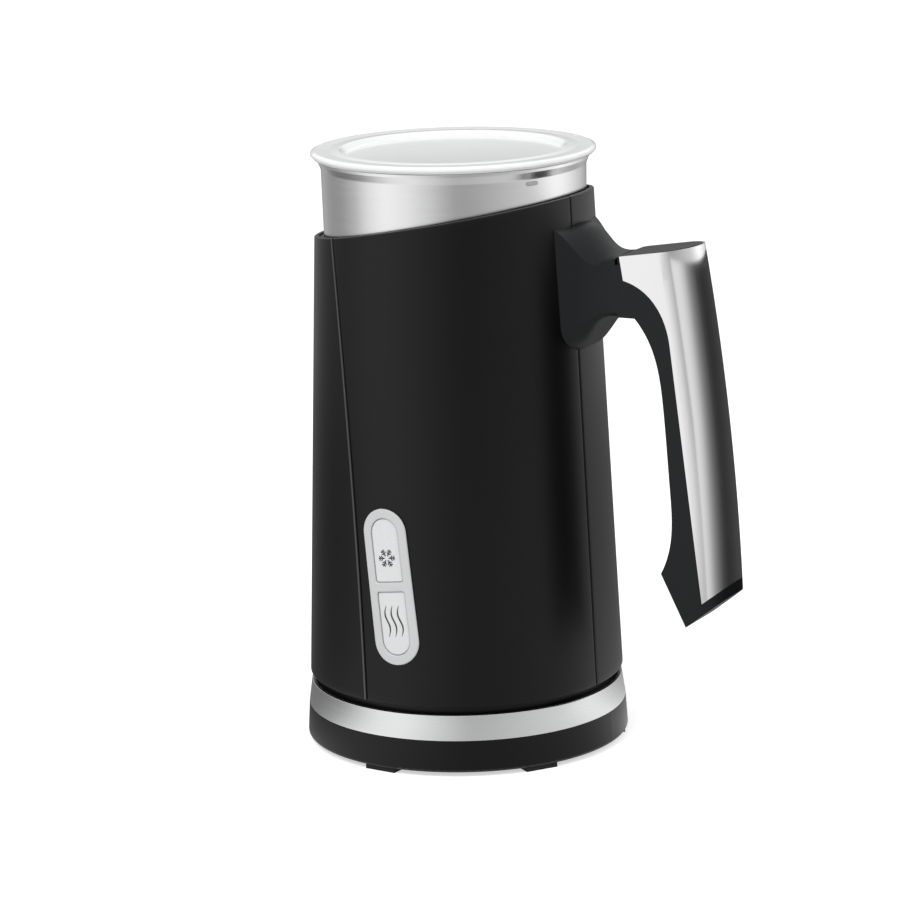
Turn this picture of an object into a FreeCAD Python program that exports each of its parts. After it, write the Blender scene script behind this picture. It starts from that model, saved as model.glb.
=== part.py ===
# Electric milk frother: a heated jug unit that lifts off a round power base and turns on it.
# +Z is up and the origin is on the body's axis, at the level the feet stand on.
# The handle points to +X and the two buttons face -Y.
import FreeCAD, Part
import math
import os
import re
import Sketcher
from FreeCAD import Placement, Rotation, Vector

# Driving dimensions, in millimetres and degrees.
DIMENSIONS = {
    # fits
    "seat_gap": 0.1,
    "running_gap": 0.25,
    "seam_gap": 0.25,
    # base
    "foot_height": 1.5,
    "foot_count": 6,
    "foot_phase": -95.5,
    "foot_width": 11.4,
    "foot_depth": 7.6,
    "foot_peg": 1.6,
    "foot_peg_rise": 1.2,
    "base_margin": 1.5,
    "base_lean": 0.064,
    "base_wall": 2.6,
    "base_edge": 1.0,
    "base_deck": 2.4,
    "trim_bottom": 12.2,
    "trim_top": 20.7,
    "trim_wall": 1.2,
    "trim_inset": 1.9,
    "deck_gap": 1.8,
    "deck_rise": 0.4,
    "boss_wall": 2.2,
    "boss_overlap": 0.5,
    "boss_inset": 6.0,
    "cover_thick": 2.2,
    "gland_height": 7.9,
    "gland_radius": 4.0,
    "gland_bore": 3.0,
    "gland_length": 5.4,
    "gland_proud": 0.3,
    # power coupling
    "plug_radius": 11.0,
    "plug_rise": 10.0,
    "plug_ledge": 4.0,
    "plug_sink": 3.0,
    "plug_tube": 1.9,
    "pin_setback": 1.0,
    "socket_wall": 3.2,
    "socket_clear": 2.0,
    "socket_flange": 3.0,
    "socket_roof": 3.0,
    "socket_cap": 2.0,
    "socket_tip": 2.4,
    "contact_pin": 1.6,
    # jug unit shell
    "shell_bottom": 23.6,
    "shell_radius": 53.5,
    "shell_top_radius": 46.4,
    "shell_drop": 7.5,
    "shell_wall": 1.5,
    "rim_drop": 19.0,
    "rim_slope": 9.7,
    "rim_round": 0.8,
    "collar_depth": 16.0,
    "seam_low_x": -10.0,
    "seam_low_z": 20.0,
    "seam_high_x": -27.1,
    "seam_over": 3.0,
    "seam_radius": 1655.0,
    "panel_end": -7.7,
    # chassis
    "chassis_thick": 2.6,
    "chassis_draft": 0.2,
    "post_circle": 43.0,
    "post_radius": 4.2,
    "carrier_bottom": 80.0,
    "carrier_rise": 17.0,
    "carrier_wall": 1.2,
    "post_phase": 90.0,
    # jug
    "jug_floor": 87.5,
    "jug_wall": 0.6,
    "jug_low_radius": 42.6,
    "jug_top_radius": 44.3,
    "jug_top": 199.5,
    "jug_corner": 5.0,
    "jug_lip": 0.9,
    # drive and heating
    "heater_outer": 37.0,
    "heater_inner": 18.5,
    "heater_thick": 4.0,
    "heater_clear": 1.0,
    "thermostat_radius": 5.0,
    "thermostat_rise": 6.0,
    "thermostat_reach": 27.0,
    "motor_radius": 12.0,
    "motor_length": 26.0,
    "motor_boss": 3.0,
    "motor_boss_proud": 0.6,
    "bracket_bottom": 66.0,
    "bracket_thick": 2.0,
    "bracket_radius": 34.0,
    "bracket_circle": 29.0,
    "bracket_leg": 3.2,
    "shaft_radius": 1.0,
    "shaft_gap": 0.05,
    "shaft_in": 11.5,
    "rotor_radius": 15.0,
    "rotor_thick": 4.5,
    "rotor_gap": 1.5,
    "magnet_radius": 3.5,
    "magnet_depth": 3.0,
    "magnet_circle": 8.5,
    # whisk
    "pin_radius": 1.5,
    "pin_rise": 11.0,
    "pin_foot": 3.6,
    "pin_foot_rise": 0.8,
    "whisk_hub": 5.0,
    "whisk_hub_taper": 1.0,
    "whisk_float": 0.4,
    "whisk_bore_gap": 0.06,
    "whisk_magnet_radius": 2.9,
    "whisk_magnet_floor": 0.5,
    "whisk_magnet_depth": 2.5,
    "whisk_rise": 8.0,
    "whisk_disc": 13.0,
    "whisk_thick": 4.2,
    "coil_radius": 2.3,
    "coil_bite": 0.92,
    # lid
    "lid_radius": 47.6,
    "lid_seat": 0.3,
    "lid_flange": 2.4,
    "lid_edge": 0.8,
    "lid_dish_radius": 37.3,
    "lid_dish": 1.7,
    "lid_thick": 2.0,
    "lid_skirt": 8.0,
    "lid_skirt_wall": 1.8,
    "seal_section": 1.1,
    "seal_gap": 0.2,
    "seal_up": 1.5,
    "seal_rise": 2.0,
    "seal_bevel": 0.3,
    # controls
    "control_height": 63.4,
    "control_tilt": 6.7,
    "control_reach": 40.0,
    "key_depth": 3.4,
    "skirt_depth": 1.1,
    "neck_depth": 1.0,
    "stem_length": 4.0,
    "bezel_width": 16.0,
    "bezel_length": 52.4,
    "bezel_rise": 1.0,
    "bezel_flange": 0.8,
    "window_width": 10.2,
    "window_length": 46.0,
    "window_web": 3.1,
    "button_gap": 0.15,
    "button_dip": 0.45,
    "button_travel": 0.8,
    "button_skirt": 0.7,
    "board_thick": 1.6,
    "board_setback": 10.8,
    "board_width": 24.0,
    "board_gap": 0.5,
    "switch_side": 6.0,
    "switch_depth": 4.0,
    "switch_offset": 10.0,
    "stem_radius": 1.8,
    # handle
    "handle_width": 22.0,
    "handle_nose": 10.6,
    "nose_flat": 0.4,
    "handle_top": 174.2,
    "handle_top_reach": 90.1,
    "handle_top_slope": 0.15,
    "handle_mid_reach": 98.3,
    "handle_mid_height": 115.3,
    "handle_low_reach": 102.3,
    "handle_low_height": 59.6,
    "handle_tip_reach": 87.6,
    "handle_tip_height": 48.2,
    "grip_heel_reach": 78.9,
    "grip_heel_height": 65.6,
    "grip_low_reach": 82.6,
    "grip_low_height": 77.0,
    "grip_mid_reach": 82.5,
    "grip_mid_height": 95.0,
    "grip_high_reach": 80.6,
    "grip_high_height": 121.0,
    "grip_bend_reach": 76.8,
    "grip_bend_height": 140.6,
    "arm_corner_reach": 70.8,
    "arm_bottom": 150.4,
    "arm_start": 64.6,
    "mount_seat": 0.03,
    "mount_root_reach": 40.0,
    "mount_root_half": 15.6,
    "mount_root_edge": 178.6,
    "mount_root_crown": 179.3,
    "mount_root_bottom": 136.8,
    "mount_root_round": 9.0,
    "mount_shell_reach": 47.0,
    "mount_shell_half": 14.6,
    "mount_shell_edge": 176.6,
    "mount_shell_crown": 179.0,
    "mount_shell_bottom": 137.4,
    "mount_shell_round": 9.0,
    "mount_rise_reach": 51.5,
    "mount_rise_half": 13.0,
    "mount_rise_edge": 171.2,
    "mount_rise_crown": 177.9,
    "mount_rise_bottom": 139.8,
    "mount_rise_round": 8.0,
    "mount_dip_reach": 56.0,
    "mount_dip_half": 11.8,
    "mount_dip_edge": 167.6,
    "mount_dip_crown": 173.4,
    "mount_dip_bottom": 146.4,
    "mount_dip_round": 4.0,
    "mount_low_reach": 60.0,
    "mount_low_half": 11.2,
    "mount_low_edge": 167.8,
    "mount_low_crown": 170.9,
    "mount_low_bottom": 149.9,
    "mount_low_round": 2.2,
    "mount_end_reach": 65.0,
    "mount_end_half": 11.0,
    "mount_end_edge": 170.2,
    "mount_end_crown": 170.35,
    "mount_end_bottom": 150.4,
    "mount_end_round": 1.6,
    "bolt_low": 153.2,
    "bolt_high": 161.0,
    "bolt_length": 11.0,
    "bolt_head_thick": 1.2,
    "bolt_seat": 0.4,
    "cover_wall": 0.8,
    "cover_start": 65.6,
    "cover_notch_reach": 66.9,
    "cover_notch_height": 162.7,
    "cover_bend_reach": 78.4,
    "cover_bend_height": 155.0,
    "cover_high_reach": 83.2,
    "cover_high_height": 142.0,
    "cover_low_reach": 93.4,
    "cover_low_height": 56.7,
    "cap_thick": 2.6,
    "cap_lead": 1.6,
    # fasteners
    "screw_radius": 1.5,
    "screw_head": 2.9,
    "screw_head_thick": 1.8,
    "screw_length": 9.0,
}

# Sizes that follow from others, as the sheet's own formulas.
FOLLOWING = {
    "base_radius": "shell_radius + base_margin",
    "trim_top_radius": "base_radius - trim_inset",
    "deck_radius": "shell_radius - shell_wall - deck_gap",
    "shell_top": "jug_top - shell_drop",
    "seam_high_z": "shell_top + seam_over",
    "rim_height": "jug_top - rim_drop",
    "lid_top": "jug_top + lid_seat + lid_flange",
    "shell_taper": "(shell_radius - shell_top_radius) / (shell_top - shell_bottom)",
    "control_radius": "shell_radius - shell_taper * (control_height - shell_bottom)",
    "board_face": "control_radius - board_setback",
}

UP = Vector(0, 0, 1)
BEYOND = "90"    # clear of every wall, for cutting tools
CLEAR = 8.0      # a short way past a surface that is cut
MATH_WORDS = {"sin", "cos", "tan", "sqrt", "min", "max"}

doc = FreeCAD.newDocument("milk_frother")
dims = doc.addObject("Spreadsheet::Sheet", "Dims")
nodes = []


def fill_sheet():
    cells = [(alias, str(number)) for alias, number in DIMENSIONS.items()]
    cells += [(alias, "=" + formula) for alias, formula in FOLLOWING.items()]
    for row, (alias, content) in enumerate(cells, start=1):
        dims.set("A%d" % row, alias)
        dims.setAlias("B%d" % row, alias)
    for row, (alias, content) in enumerate(cells, start=1):
        dims.set("B%d" % row, content)
    doc.recompute()


def size(alias):
    """A driving dimension as the sheet holds it."""
    return float(dims.get(alias))


def bind(expression):
    """Point each dimension's name in an expression at the sheet."""
    return re.sub(r"[a-z]\w+", lambda m: m.group() if m.group() in MATH_WORDS else "Dims." + m.group(),
                  str(expression))


def link(thing, **expressions):
    """Bind properties of an object to expressions of the sheet's names."""
    for prop, expression in expressions.items():
        thing.setExpression(prop, bind(expression))
    return thing


def put(thing, x="0", y="0", z="0"):
    """Bind where an object stands."""
    thing.setExpression(".Placement.Base.x", bind(x))
    thing.setExpression(".Placement.Base.y", bind(y))
    thing.setExpression(".Placement.Base.z", bind(z))
    return thing


def keep(thing, name):
    """Name a finished sub-part; its label names its file."""
    thing.Label = name
    nodes.append(thing)
    return thing


# ---------------------------------------------------------------- sketches and bodies

def new_body(name):
    body = doc.addObject("PartDesign::Body", name + "_body")
    return body


def new_sketch(body, name, role):
    sketch = body.newObject("Sketcher::SketchObject", name)
    plane = next(item for item in body.Origin.OriginFeatures if item.Role == role)
    sketch.AttachmentSupport = [(plane, "")]
    sketch.MapMode = "FlatFace"
    return sketch


def pin_corner(sketch, kind, corner, guess, expression):
    """Hold one coordinate of a corner at an expression's value."""
    if expression == "0":
        axis = -2 if kind == "DistanceX" else -1
        sketch.addConstraint(Sketcher.Constraint("PointOnObject", corner, 1, axis))
        return
    index = sketch.addConstraint(Sketcher.Constraint(kind, -1, 1, corner, 1, guess))
    sketch.setExpression("Constraints[%d]" % index, bind(expression))


def polygon(body, name, role, corners):
    """A closed outline whose corners are bound to the sheet."""
    sketch = new_sketch(body, name, role)
    count = len(corners)
    ring = [Vector(60 + 20 * math.cos(math.tau * i / count), 60 + 20 * math.sin(math.tau * i / count), 0)
            for i in range(count)]
    for i in range(count):
        sketch.addGeometry(Part.LineSegment(ring[i], ring[(i + 1) % count]))
    for i in range(count):
        sketch.addConstraint(Sketcher.Constraint("Coincident", i, 2, (i + 1) % count, 1))
    for i, (across, up) in enumerate(corners):
        pin_corner(sketch, "DistanceX", i, ring[i].x, across)
        pin_corner(sketch, "DistanceY", i, ring[i].y, up)
    return sketch


def circles(body, name, spots):
    """Circles on the ground plane: (x, y, radius) each, bound to the sheet."""
    sketch = new_sketch(body, name, "XY_Plane")
    for i, (x, y, radius) in enumerate(spots):
        sketch.addGeometry(Part.Circle(Vector(30 + 9 * i, 30, 0), UP, 2))
        for kind, guess, expression in (("DistanceX", 30.0 + 9 * i, x), ("DistanceY", 30.0, y)):
            if expression == "0":
                axis = -2 if kind == "DistanceX" else -1
                sketch.addConstraint(Sketcher.Constraint("PointOnObject", i, 3, axis))
            else:
                index = sketch.addConstraint(Sketcher.Constraint(kind, -1, 1, i, 3, guess))
                sketch.setExpression("Constraints[%d]" % index, bind(expression))
        index = sketch.addConstraint(Sketcher.Constraint("Radius", i, 2.0))
        sketch.setExpression("Constraints[%d]" % index, bind(radius))
    return sketch


def turned(name, corners):
    """A body of revolution about Z from (radius, height) corners."""
    body = new_body(name)
    sketch = polygon(body, name + "_profile", "XZ_Plane", corners)
    turn = body.newObject("PartDesign::Revolution", name + "_turn")
    turn.Profile = sketch
    turn.ReferenceAxis = (sketch, ["V_Axis"])
    turn.Angle = 360
    body.Tip = turn
    return body


def padded(body, name, spots, low, rise):
    """Round bosses raised from a level on an existing body."""
    sketch = circles(body, name + "_sketch", spots)
    sketch.setExpression(".AttachmentOffset.Base.z", bind(low))
    pad = body.newObject("PartDesign::Pad", name)
    pad.Profile = sketch
    link(pad, Length=rise)
    body.Tip = pad
    return pad


def drilled(body, name, spots, low, rise):
    """Round holes cut upward from a level through an existing body."""
    sketch = circles(body, name + "_sketch", spots)
    sketch.setExpression(".AttachmentOffset.Base.z", bind(low))
    doc.recompute()
    before = body.Shape.Volume
    pocket = body.newObject("PartDesign::Pocket", name)
    pocket.Profile = sketch
    pocket.Reversed = True
    link(pocket, Length=rise)
    body.Tip = pocket
    doc.recompute()
    if body.Shape.Volume > before - 0.01:
        raise RuntimeError(name + " cuts nothing")
    return pocket


def fillet(body, name, radius, wanted):
    """Round the edges of a body's tip that a test picks out."""
    doc.recompute()
    base = body.Tip
    names = ["Edge%d" % i for i, edge in enumerate(base.Shape.Edges, start=1) if wanted(edge)]
    rounding = body.newObject("PartDesign::Fillet", name)
    rounding.Base = (base, names)
    link(rounding, Radius=radius)
    body.Tip = rounding
    return rounding


def ring_spots(count, circle, radius, phase="0"):
    """(x, y, radius) expressions for holes or bosses round the axis."""
    spots = []
    for i in range(count):
        angle = "%s + %g" % (phase, 360.0 * i / count)
        spots.append(("(%s) * cos(%s)" % (circle, angle), "(%s) * sin(%s)" % (circle, angle), radius))
    return spots


# ---------------------------------------------------------------- primitives and booleans

def cylinder(name, radius, low, rise, x="0", y="0"):
    solid = doc.addObject("Part::Cylinder", name)
    link(solid, Radius=radius, Height=rise)
    return put(solid, x, y, low)


def box(name, wide, deep, tall, x, y, z):
    """A box centred on x and y that starts at z."""
    solid = doc.addObject("Part::Box", name)
    link(solid, Length=wide, Width=deep, Height=tall)
    return put(solid, "%s - (%s) / 2" % (x, wide), "%s - (%s) / 2" % (y, deep), z)


def cut(name, base, tool):
    result = doc.addObject("Part::Cut", name)
    result.Base = base
    result.Tool = tool
    return result


def common(name, one, two):
    result = doc.addObject("Part::Common", name)
    result.Base = one
    result.Tool = two
    return result


def fused(name, pieces):
    result = doc.addObject("Part::MultiFuse", name)
    result.Shapes = pieces
    return result


def grouped(name, pieces):
    """Identical pieces that stay separate solids of one node."""
    result = doc.addObject("Part::Compound", name)
    result.Links = pieces
    return result


def screw(name, x, y, head_low, upward):
    """A pan-head screw; upward says which way its tip points."""
    head = cylinder(name + "_head", "screw_head", head_low, "screw_head_thick", x, y)
    start = head_low + " + screw_head_thick" if upward else head_low + " - screw_length"
    shank = cylinder(name + "_shank", "screw_radius", start, "screw_length", x, y)
    return fused(name, [head, shank])


# ---------------------------------------------------------------- base

COVER_FACE = "(foot_height)"
COVER_TOP = "(foot_height + cover_thick)"
DECK_TOP = "(shell_bottom + deck_rise)"
DECK_BOTTOM = "(shell_bottom + deck_rise - base_deck)"
COVER_RADIUS = "(base_radius - base_wall - seat_gap)"
SCREW_CIRCLE = "(post_circle - boss_inset)"
FOOT_REACH = "(base_radius - base_edge - foot_depth / 2)"


def base_radius_at(height):
    return "(base_radius - base_lean * (%s - foot_height))" % height


def make_base_shell():
    seat = "(trim_top_radius - trim_wall - seat_gap)"
    low_seat = "(%s - trim_wall - seat_gap)" % base_radius_at("trim_bottom")
    inner = "(deck_radius - base_wall)"
    body = turned("base_shell", [
        ("base_radius - base_wall", "foot_height"),
        ("base_radius", "foot_height"),
        (base_radius_at("trim_bottom"), "trim_bottom"),
        (low_seat, "trim_bottom"),
        (seat, "trim_top"),
        ("deck_radius", "trim_top"),
        ("deck_radius", DECK_TOP),
        ("plug_radius + socket_wall + socket_clear", DECK_TOP),
        ("plug_radius + socket_wall + socket_clear", DECK_BOTTOM),
        (inner, DECK_BOTTOM),
        ("base_radius - base_wall", "trim_bottom - base_wall"),
    ])
    fillet(body, "base_shell_edge", "base_edge",
           lambda e: is_circle(e, size("base_radius"), size("foot_height")))
    bosses = ring_spots(4, SCREW_CIRCLE, "screw_radius + boss_wall", "45")
    padded(body, "screw_bosses", bosses, COVER_TOP, "%s - %s + boss_overlap" % (DECK_BOTTOM, COVER_TOP))
    tips = ring_spots(4, SCREW_CIRCLE, "screw_radius", "45")
    drilled(body, "boss_bores", tips, COVER_TOP, "screw_length")
    gland_hole = cylinder("gland_hole", "gland_radius + seat_gap", "0", "gland_length * 2")
    gland_hole.Placement = Placement(Vector(), Rotation(Vector(1, 0, 0), -90))
    put(gland_hole, "0", "base_radius - gland_length", "gland_height")
    keep(cut("base_shell_cut", body, gland_hole), "base_shell")


def is_circle(edge, radius, height):
    curve = edge.Curve
    if not isinstance(curve, Part.Circle):
        return False
    return abs(curve.Radius - radius) < 0.01 and abs(curve.Center.z - height) < 0.01


def make_trim_ring():
    low = base_radius_at("trim_bottom")
    body = turned("base_trim_ring", [
        ("%s - trim_wall" % low, "trim_bottom"),
        (low, "trim_bottom"),
        ("trim_top_radius", "trim_top"),
        ("trim_top_radius - trim_wall", "trim_top"),
    ])
    keep(body, "base_trim_ring")


def make_bottom_cover():
    body = turned("base_bottom_cover", [
        ("0", "foot_height"),
        (COVER_RADIUS, "foot_height"),
        (COVER_RADIUS, COVER_TOP),
        ("0", COVER_TOP),
    ])
    heads = ring_spots(4, SCREW_CIRCLE, "screw_head + seat_gap", "45")
    drilled(body, "cover_head_recess", heads, "foot_height", "screw_head_thick")
    tips = ring_spots(4, SCREW_CIRCLE, "screw_radius + seat_gap", "45")
    drilled(body, "cover_screw_holes", tips, "foot_height", "cover_thick")
    pegs = ring_spots(int(size("foot_count")), FOOT_REACH, "foot_peg + seat_gap", "foot_phase")
    drilled(body, "foot_peg_holes", pegs, "foot_height", "foot_peg_rise + seat_gap")
    keep(body, "base_bottom_cover")


def make_feet():
    feet = []
    for i in range(int(size("foot_count"))):
        pad = doc.addObject("Part::Box", "foot_pad_%d" % i)
        link(pad, Length="foot_depth", Width="foot_width", Height="foot_height")
        put(pad, FOOT_REACH + " - foot_depth / 2", "-foot_width / 2", "0")
        peg = cylinder("foot_peg_%d" % i, "foot_peg", "0", "foot_height + foot_peg_rise", FOOT_REACH)
        foot = fused("foot_%d" % i, [pad, peg])
        foot.Placement = Placement(Vector(), Rotation(UP, 1))
        foot.setExpression(".Placement.Rotation.Angle", bind("foot_phase + 360 * %d / foot_count" % i))
        feet.append(foot)
    keep(grouped("base_feet_group", feet), "base_feet")


def make_base_screws():
    spots = ring_spots(4, SCREW_CIRCLE, "screw_radius", "45")
    screws = [screw("base_screw_%d" % i, x, y, "foot_height", True) for i, (x, y, r) in enumerate(spots)]
    keep(grouped("base_screw_group", screws), "base_screws")


def make_power_plug():
    top = "(%s + plug_rise)" % DECK_TOP
    foot = "(plug_radius + socket_wall + socket_clear + plug_ledge)"
    body = turned("power_plug", [
        ("contact_pin + plug_tube", "%s - plug_sink" % DECK_BOTTOM),
        (foot, "%s - plug_sink" % DECK_BOTTOM),
        (foot, DECK_BOTTOM),
        ("plug_radius", DECK_BOTTOM),
        ("plug_radius", top),
        ("contact_pin + plug_tube", top),
    ])
    keep(body, "power_plug")


def make_plug_contacts():
    top = "(%s + plug_rise)" % DECK_TOP
    rise = "%s - pin_setback - %s + plug_sink" % (top, DECK_BOTTOM)
    pin = cylinder("live_pin", "contact_pin", "%s - plug_sink" % DECK_BOTTOM, rise)
    holder = turned("contact_sleeve", [
        ("contact_pin", "%s - plug_sink" % DECK_BOTTOM),
        ("contact_pin + plug_tube", "%s - plug_sink" % DECK_BOTTOM),
        ("contact_pin + plug_tube", DECK_TOP),
        ("contact_pin", DECK_TOP),
    ])
    keep(fused("plug_contact_group", [pin, holder]), "plug_contacts")


def make_cord_gland():
    sleeve = cylinder("gland_sleeve", "gland_radius", "0", "gland_length")
    bore = cylinder("gland_bore_tool", "gland_bore", "-gland_proud", "gland_length + 2 * gland_proud")
    gland = cut("cord_gland_cut", sleeve, bore)
    gland.Placement = Placement(Vector(), Rotation(Vector(1, 0, 0), -90))
    put(gland, "0", "base_radius + gland_proud - gland_length", "gland_height")
    keep(gland, "cord_gland")


# ---------------------------------------------------------------- power socket

CHASSIS_BOTTOM = "(%s + seat_gap)" % DECK_TOP
CHASSIS_TOP = "(%s + seat_gap + chassis_thick)" % DECK_TOP


def make_socket():
    inner = "(plug_radius + running_gap)"
    outer = "(plug_radius + socket_wall)"
    top = "(%s + plug_rise + socket_roof)" % DECK_TOP
    body = turned("power_socket", [
        (inner, CHASSIS_BOTTOM),
        (outer, CHASSIS_BOTTOM),
        (outer, "%s + seat_gap" % CHASSIS_TOP),
        ("%s + socket_flange" % outer, "%s + seat_gap" % CHASSIS_TOP),
        ("%s + socket_flange" % outer, "%s + socket_cap" % CHASSIS_TOP),
        (outer, "%s + socket_cap" % CHASSIS_TOP),
        (outer, top),
        ("contact_pin + pin_setback", top),
        ("contact_pin + pin_setback", "%s - socket_cap" % top),
        (inner, "%s - socket_cap" % top),
    ])
    keep(body, "power_socket")


def make_socket_contact():
    top = "(%s + plug_rise + socket_roof)" % DECK_TOP
    low = "%s - socket_tip" % top
    keep(cylinder("socket_tip_rod", "contact_pin + pin_setback", low, "socket_tip"), "socket_contact")


# ---------------------------------------------------------------- shell, panel and collar

SHELL_RISE = "(shell_top - shell_bottom)"


def shell_radius_at(height):
    return "(shell_radius - shell_taper * (%s - shell_bottom))" % height


def jug_radius_at(height):
    low = "(jug_floor + jug_corner)"
    high = "(jug_top - 2 * jug_lip)"
    flare = "(jug_top_radius - jug_low_radius) / (%s - %s)" % (high, low)
    return "(jug_low_radius + %s * (%s - %s))" % (flare, height, low)


def cone_solid(name, offset):
    """The shell's outer cone, grown or shrunk, as a solid tool."""
    solid = doc.addObject("Part::Cone", name)
    link(solid, Radius1="shell_radius + (%s)" % offset, Radius2="shell_top_radius + (%s)" % offset,
         Height=SHELL_RISE)
    return put(solid, "0", "0", "shell_bottom")


def above_rim(name, drop):
    """Everything above the slanting rim, lowered by drop."""
    body = new_body(name)
    sketch = polygon(body, name + "_side", "XZ_Plane", [
        ("-" + BEYOND, "rim_height - (%s) - %s * tan(rim_slope)" % (drop, BEYOND)),
        (BEYOND, "rim_height - (%s) + %s * tan(rim_slope)" % (drop, BEYOND)),
        (BEYOND, "shell_top + " + BEYOND),
        ("-" + BEYOND, "shell_top + " + BEYOND),
    ])
    pad = body.newObject("PartDesign::Pad", name + "_pad")
    pad.Profile = sketch
    pad.Midplane = True
    link(pad, Length="2 * " + BEYOND)
    body.Tip = pad
    return body


def panel_zone(name, gap):
    """The stretch of wall that the front panel takes, smaller by a gap all round."""
    body = new_body(name)
    sketch = new_sketch(body, name + "_side", "XZ_Plane")
    low = Vector(size("seam_low_x"), size("seam_low_z"), 0)
    high = Vector(size("seam_high_x"), size("seam_high_z"), 0)
    right = float(BEYOND)
    sagitta = (high - low).Length ** 2 / (8 * size("seam_radius"))
    middle = (low + high) * 0.5 + Vector(sagitta, 0, 0)
    sketch.addGeometry(Part.Arc(low, middle, high))
    sketch.addGeometry(Part.LineSegment(high, Vector(right, high.y, 0)))
    sketch.addGeometry(Part.LineSegment(Vector(right, high.y, 0), Vector(right, low.y, 0)))
    sketch.addGeometry(Part.LineSegment(Vector(right, low.y, 0), low))
    arc_low, arc_high = (1, 2) if sketch.Geometry[0].StartPoint.isEqual(low, 1e-6) else (2, 1)
    joins = [(0, arc_high, 1, 1), (1, 2, 2, 1), (2, 2, 3, 1), (3, 2, 0, arc_low)]
    for one, end, two, start in joins:
        sketch.addConstraint(Sketcher.Constraint("Coincident", one, end, two, start))
    corners = [
        (1, 1, "seam_high_x + (%s)" % gap, "seam_high_z"),
        (2, 1, BEYOND, "seam_high_z"),
        (3, 1, BEYOND, "seam_low_z"),
        (3, 2, "seam_low_x + (%s)" % gap, "seam_low_z"),
    ]
    for geometry, end, across, up in corners:
        for kind, expression in (("DistanceX", across), ("DistanceY", up)):
            start = sketch.getPoint(geometry, end)
            guess = start.x if kind == "DistanceX" else start.y
            index = sketch.addConstraint(Sketcher.Constraint(kind, -1, 1, geometry, end, guess))
            sketch.setExpression("Constraints[%d]" % index, bind(expression))
    index = sketch.addConstraint(Sketcher.Constraint("Radius", 0, sketch.Geometry[0].Radius))
    sketch.setExpression("Constraints[%d]" % index, bind("seam_radius"))
    pad = body.newObject("PartDesign::Pad", name + "_pad")
    pad.Profile = sketch
    link(pad, Length=BEYOND)
    body.Tip = pad
    doc.recompute()
    if body.Shape.BoundBox.YMax > 1:
        pad.Reversed = True
    return common(name, body, wedge(name + "_wedge", gap))


def wedge(name, gap):
    """The half space in front of the panel's straight end, a meridian plane."""
    body = new_body(name)
    sketch = polygon(body, name + "_plan", "XY_Plane", [
        ("-%s * cos(panel_end)" % BEYOND, "-%s * sin(panel_end) - (%s)" % (BEYOND, gap)),
        ("%s * cos(panel_end)" % BEYOND, "%s * sin(panel_end) - (%s)" % (BEYOND, gap)),
        ("%s * cos(panel_end)" % BEYOND, "-2 * " + BEYOND),
        ("-%s * cos(panel_end)" % BEYOND, "-2 * " + BEYOND),
    ])
    pad = body.newObject("PartDesign::Pad", name + "_pad")
    pad.Profile = sketch
    link(pad, Length="3 * " + BEYOND)
    body.Tip = pad
    return body


def shell_wall_body(name):
    inner_low = "shell_radius - shell_wall"
    inner_high = "shell_top_radius - shell_wall"
    return turned(name, [
        (inner_low, "shell_bottom"),
        ("shell_radius", "shell_bottom"),
        ("shell_top_radius", "shell_top"),
        (inner_high, "shell_top"),
    ])


def make_shell_and_panel(handle_bolts):
    rim = above_rim("above_rim", "0")
    shell = cut("shell_below_rim", shell_wall_body("shell_wall"), rim)
    opened = cut("shell_opened", shell, panel_zone("panel_opening", "0"))
    keep(cut("main_shell_cut", opened, handle_bolts), "main_shell")
    panel_rim = above_rim("above_panel_rim", "0")
    panel = cut("panel_below_rim", shell_wall_body("panel_wall"), panel_rim)
    trimmed = common("panel_trimmed", panel, panel_zone("panel_outline", "seam_gap"))
    hole = control_prism("bezel_hole", "bezel_width - 2 * bezel_flange", "bezel_length - 2 * bezel_flange")
    keep(cut("front_panel_cut", trimmed, hole), "front_panel")


def make_collar():
    low = "(rim_height - collar_depth)"
    body = turned("rim_collar", [
        ("%s + seat_gap" % jug_radius_at(low), low),
        ("%s - shell_wall - seat_gap" % shell_radius_at(low), low),
        ("shell_top_radius - shell_wall - seat_gap", "shell_top"),
        ("%s + seat_gap" % jug_radius_at("shell_top"), "shell_top"),
    ])
    keep(cut("rim_collar_cut", body, above_rim("above_collar", "rim_round")), "rim_collar")


# ---------------------------------------------------------------- chassis and jug carrier

def make_chassis():
    inner = "(plug_radius + socket_wall + seat_gap)"
    outer = "(%s - shell_wall - seat_gap)" % shell_radius_at(CHASSIS_BOTTOM)
    body = turned("chassis_plate", [
        (inner, CHASSIS_BOTTOM),
        (outer, CHASSIS_BOTTOM),
        ("%s - chassis_draft" % outer, CHASSIS_TOP),
        (inner, CHASSIS_TOP),
    ])
    posts = ring_spots(3, "post_circle", "post_radius", "post_phase")
    padded(body, "posts", posts, CHASSIS_TOP, "carrier_bottom - %s" % CHASSIS_TOP)
    recess = ring_spots(3, "post_circle", "screw_head + seat_gap", "post_phase")
    drilled(body, "chassis_head_recess", recess, CHASSIS_BOTTOM, "screw_head_thick")
    holes = ring_spots(3, "post_circle", "screw_radius", "post_phase")
    drilled(body, "chassis_screw_holes", holes, CHASSIS_BOTTOM, "screw_head_thick + screw_length")
    keep(body, "chassis_plate")


def make_chassis_screws():
    spots = ring_spots(3, "post_circle", "screw_radius", "post_phase")
    screws = [screw("chassis_screw_%d" % i, x, y, CHASSIS_BOTTOM, True) for i, (x, y, r) in enumerate(spots)]
    keep(grouped("chassis_screw_group", screws), "chassis_screws")


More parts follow.
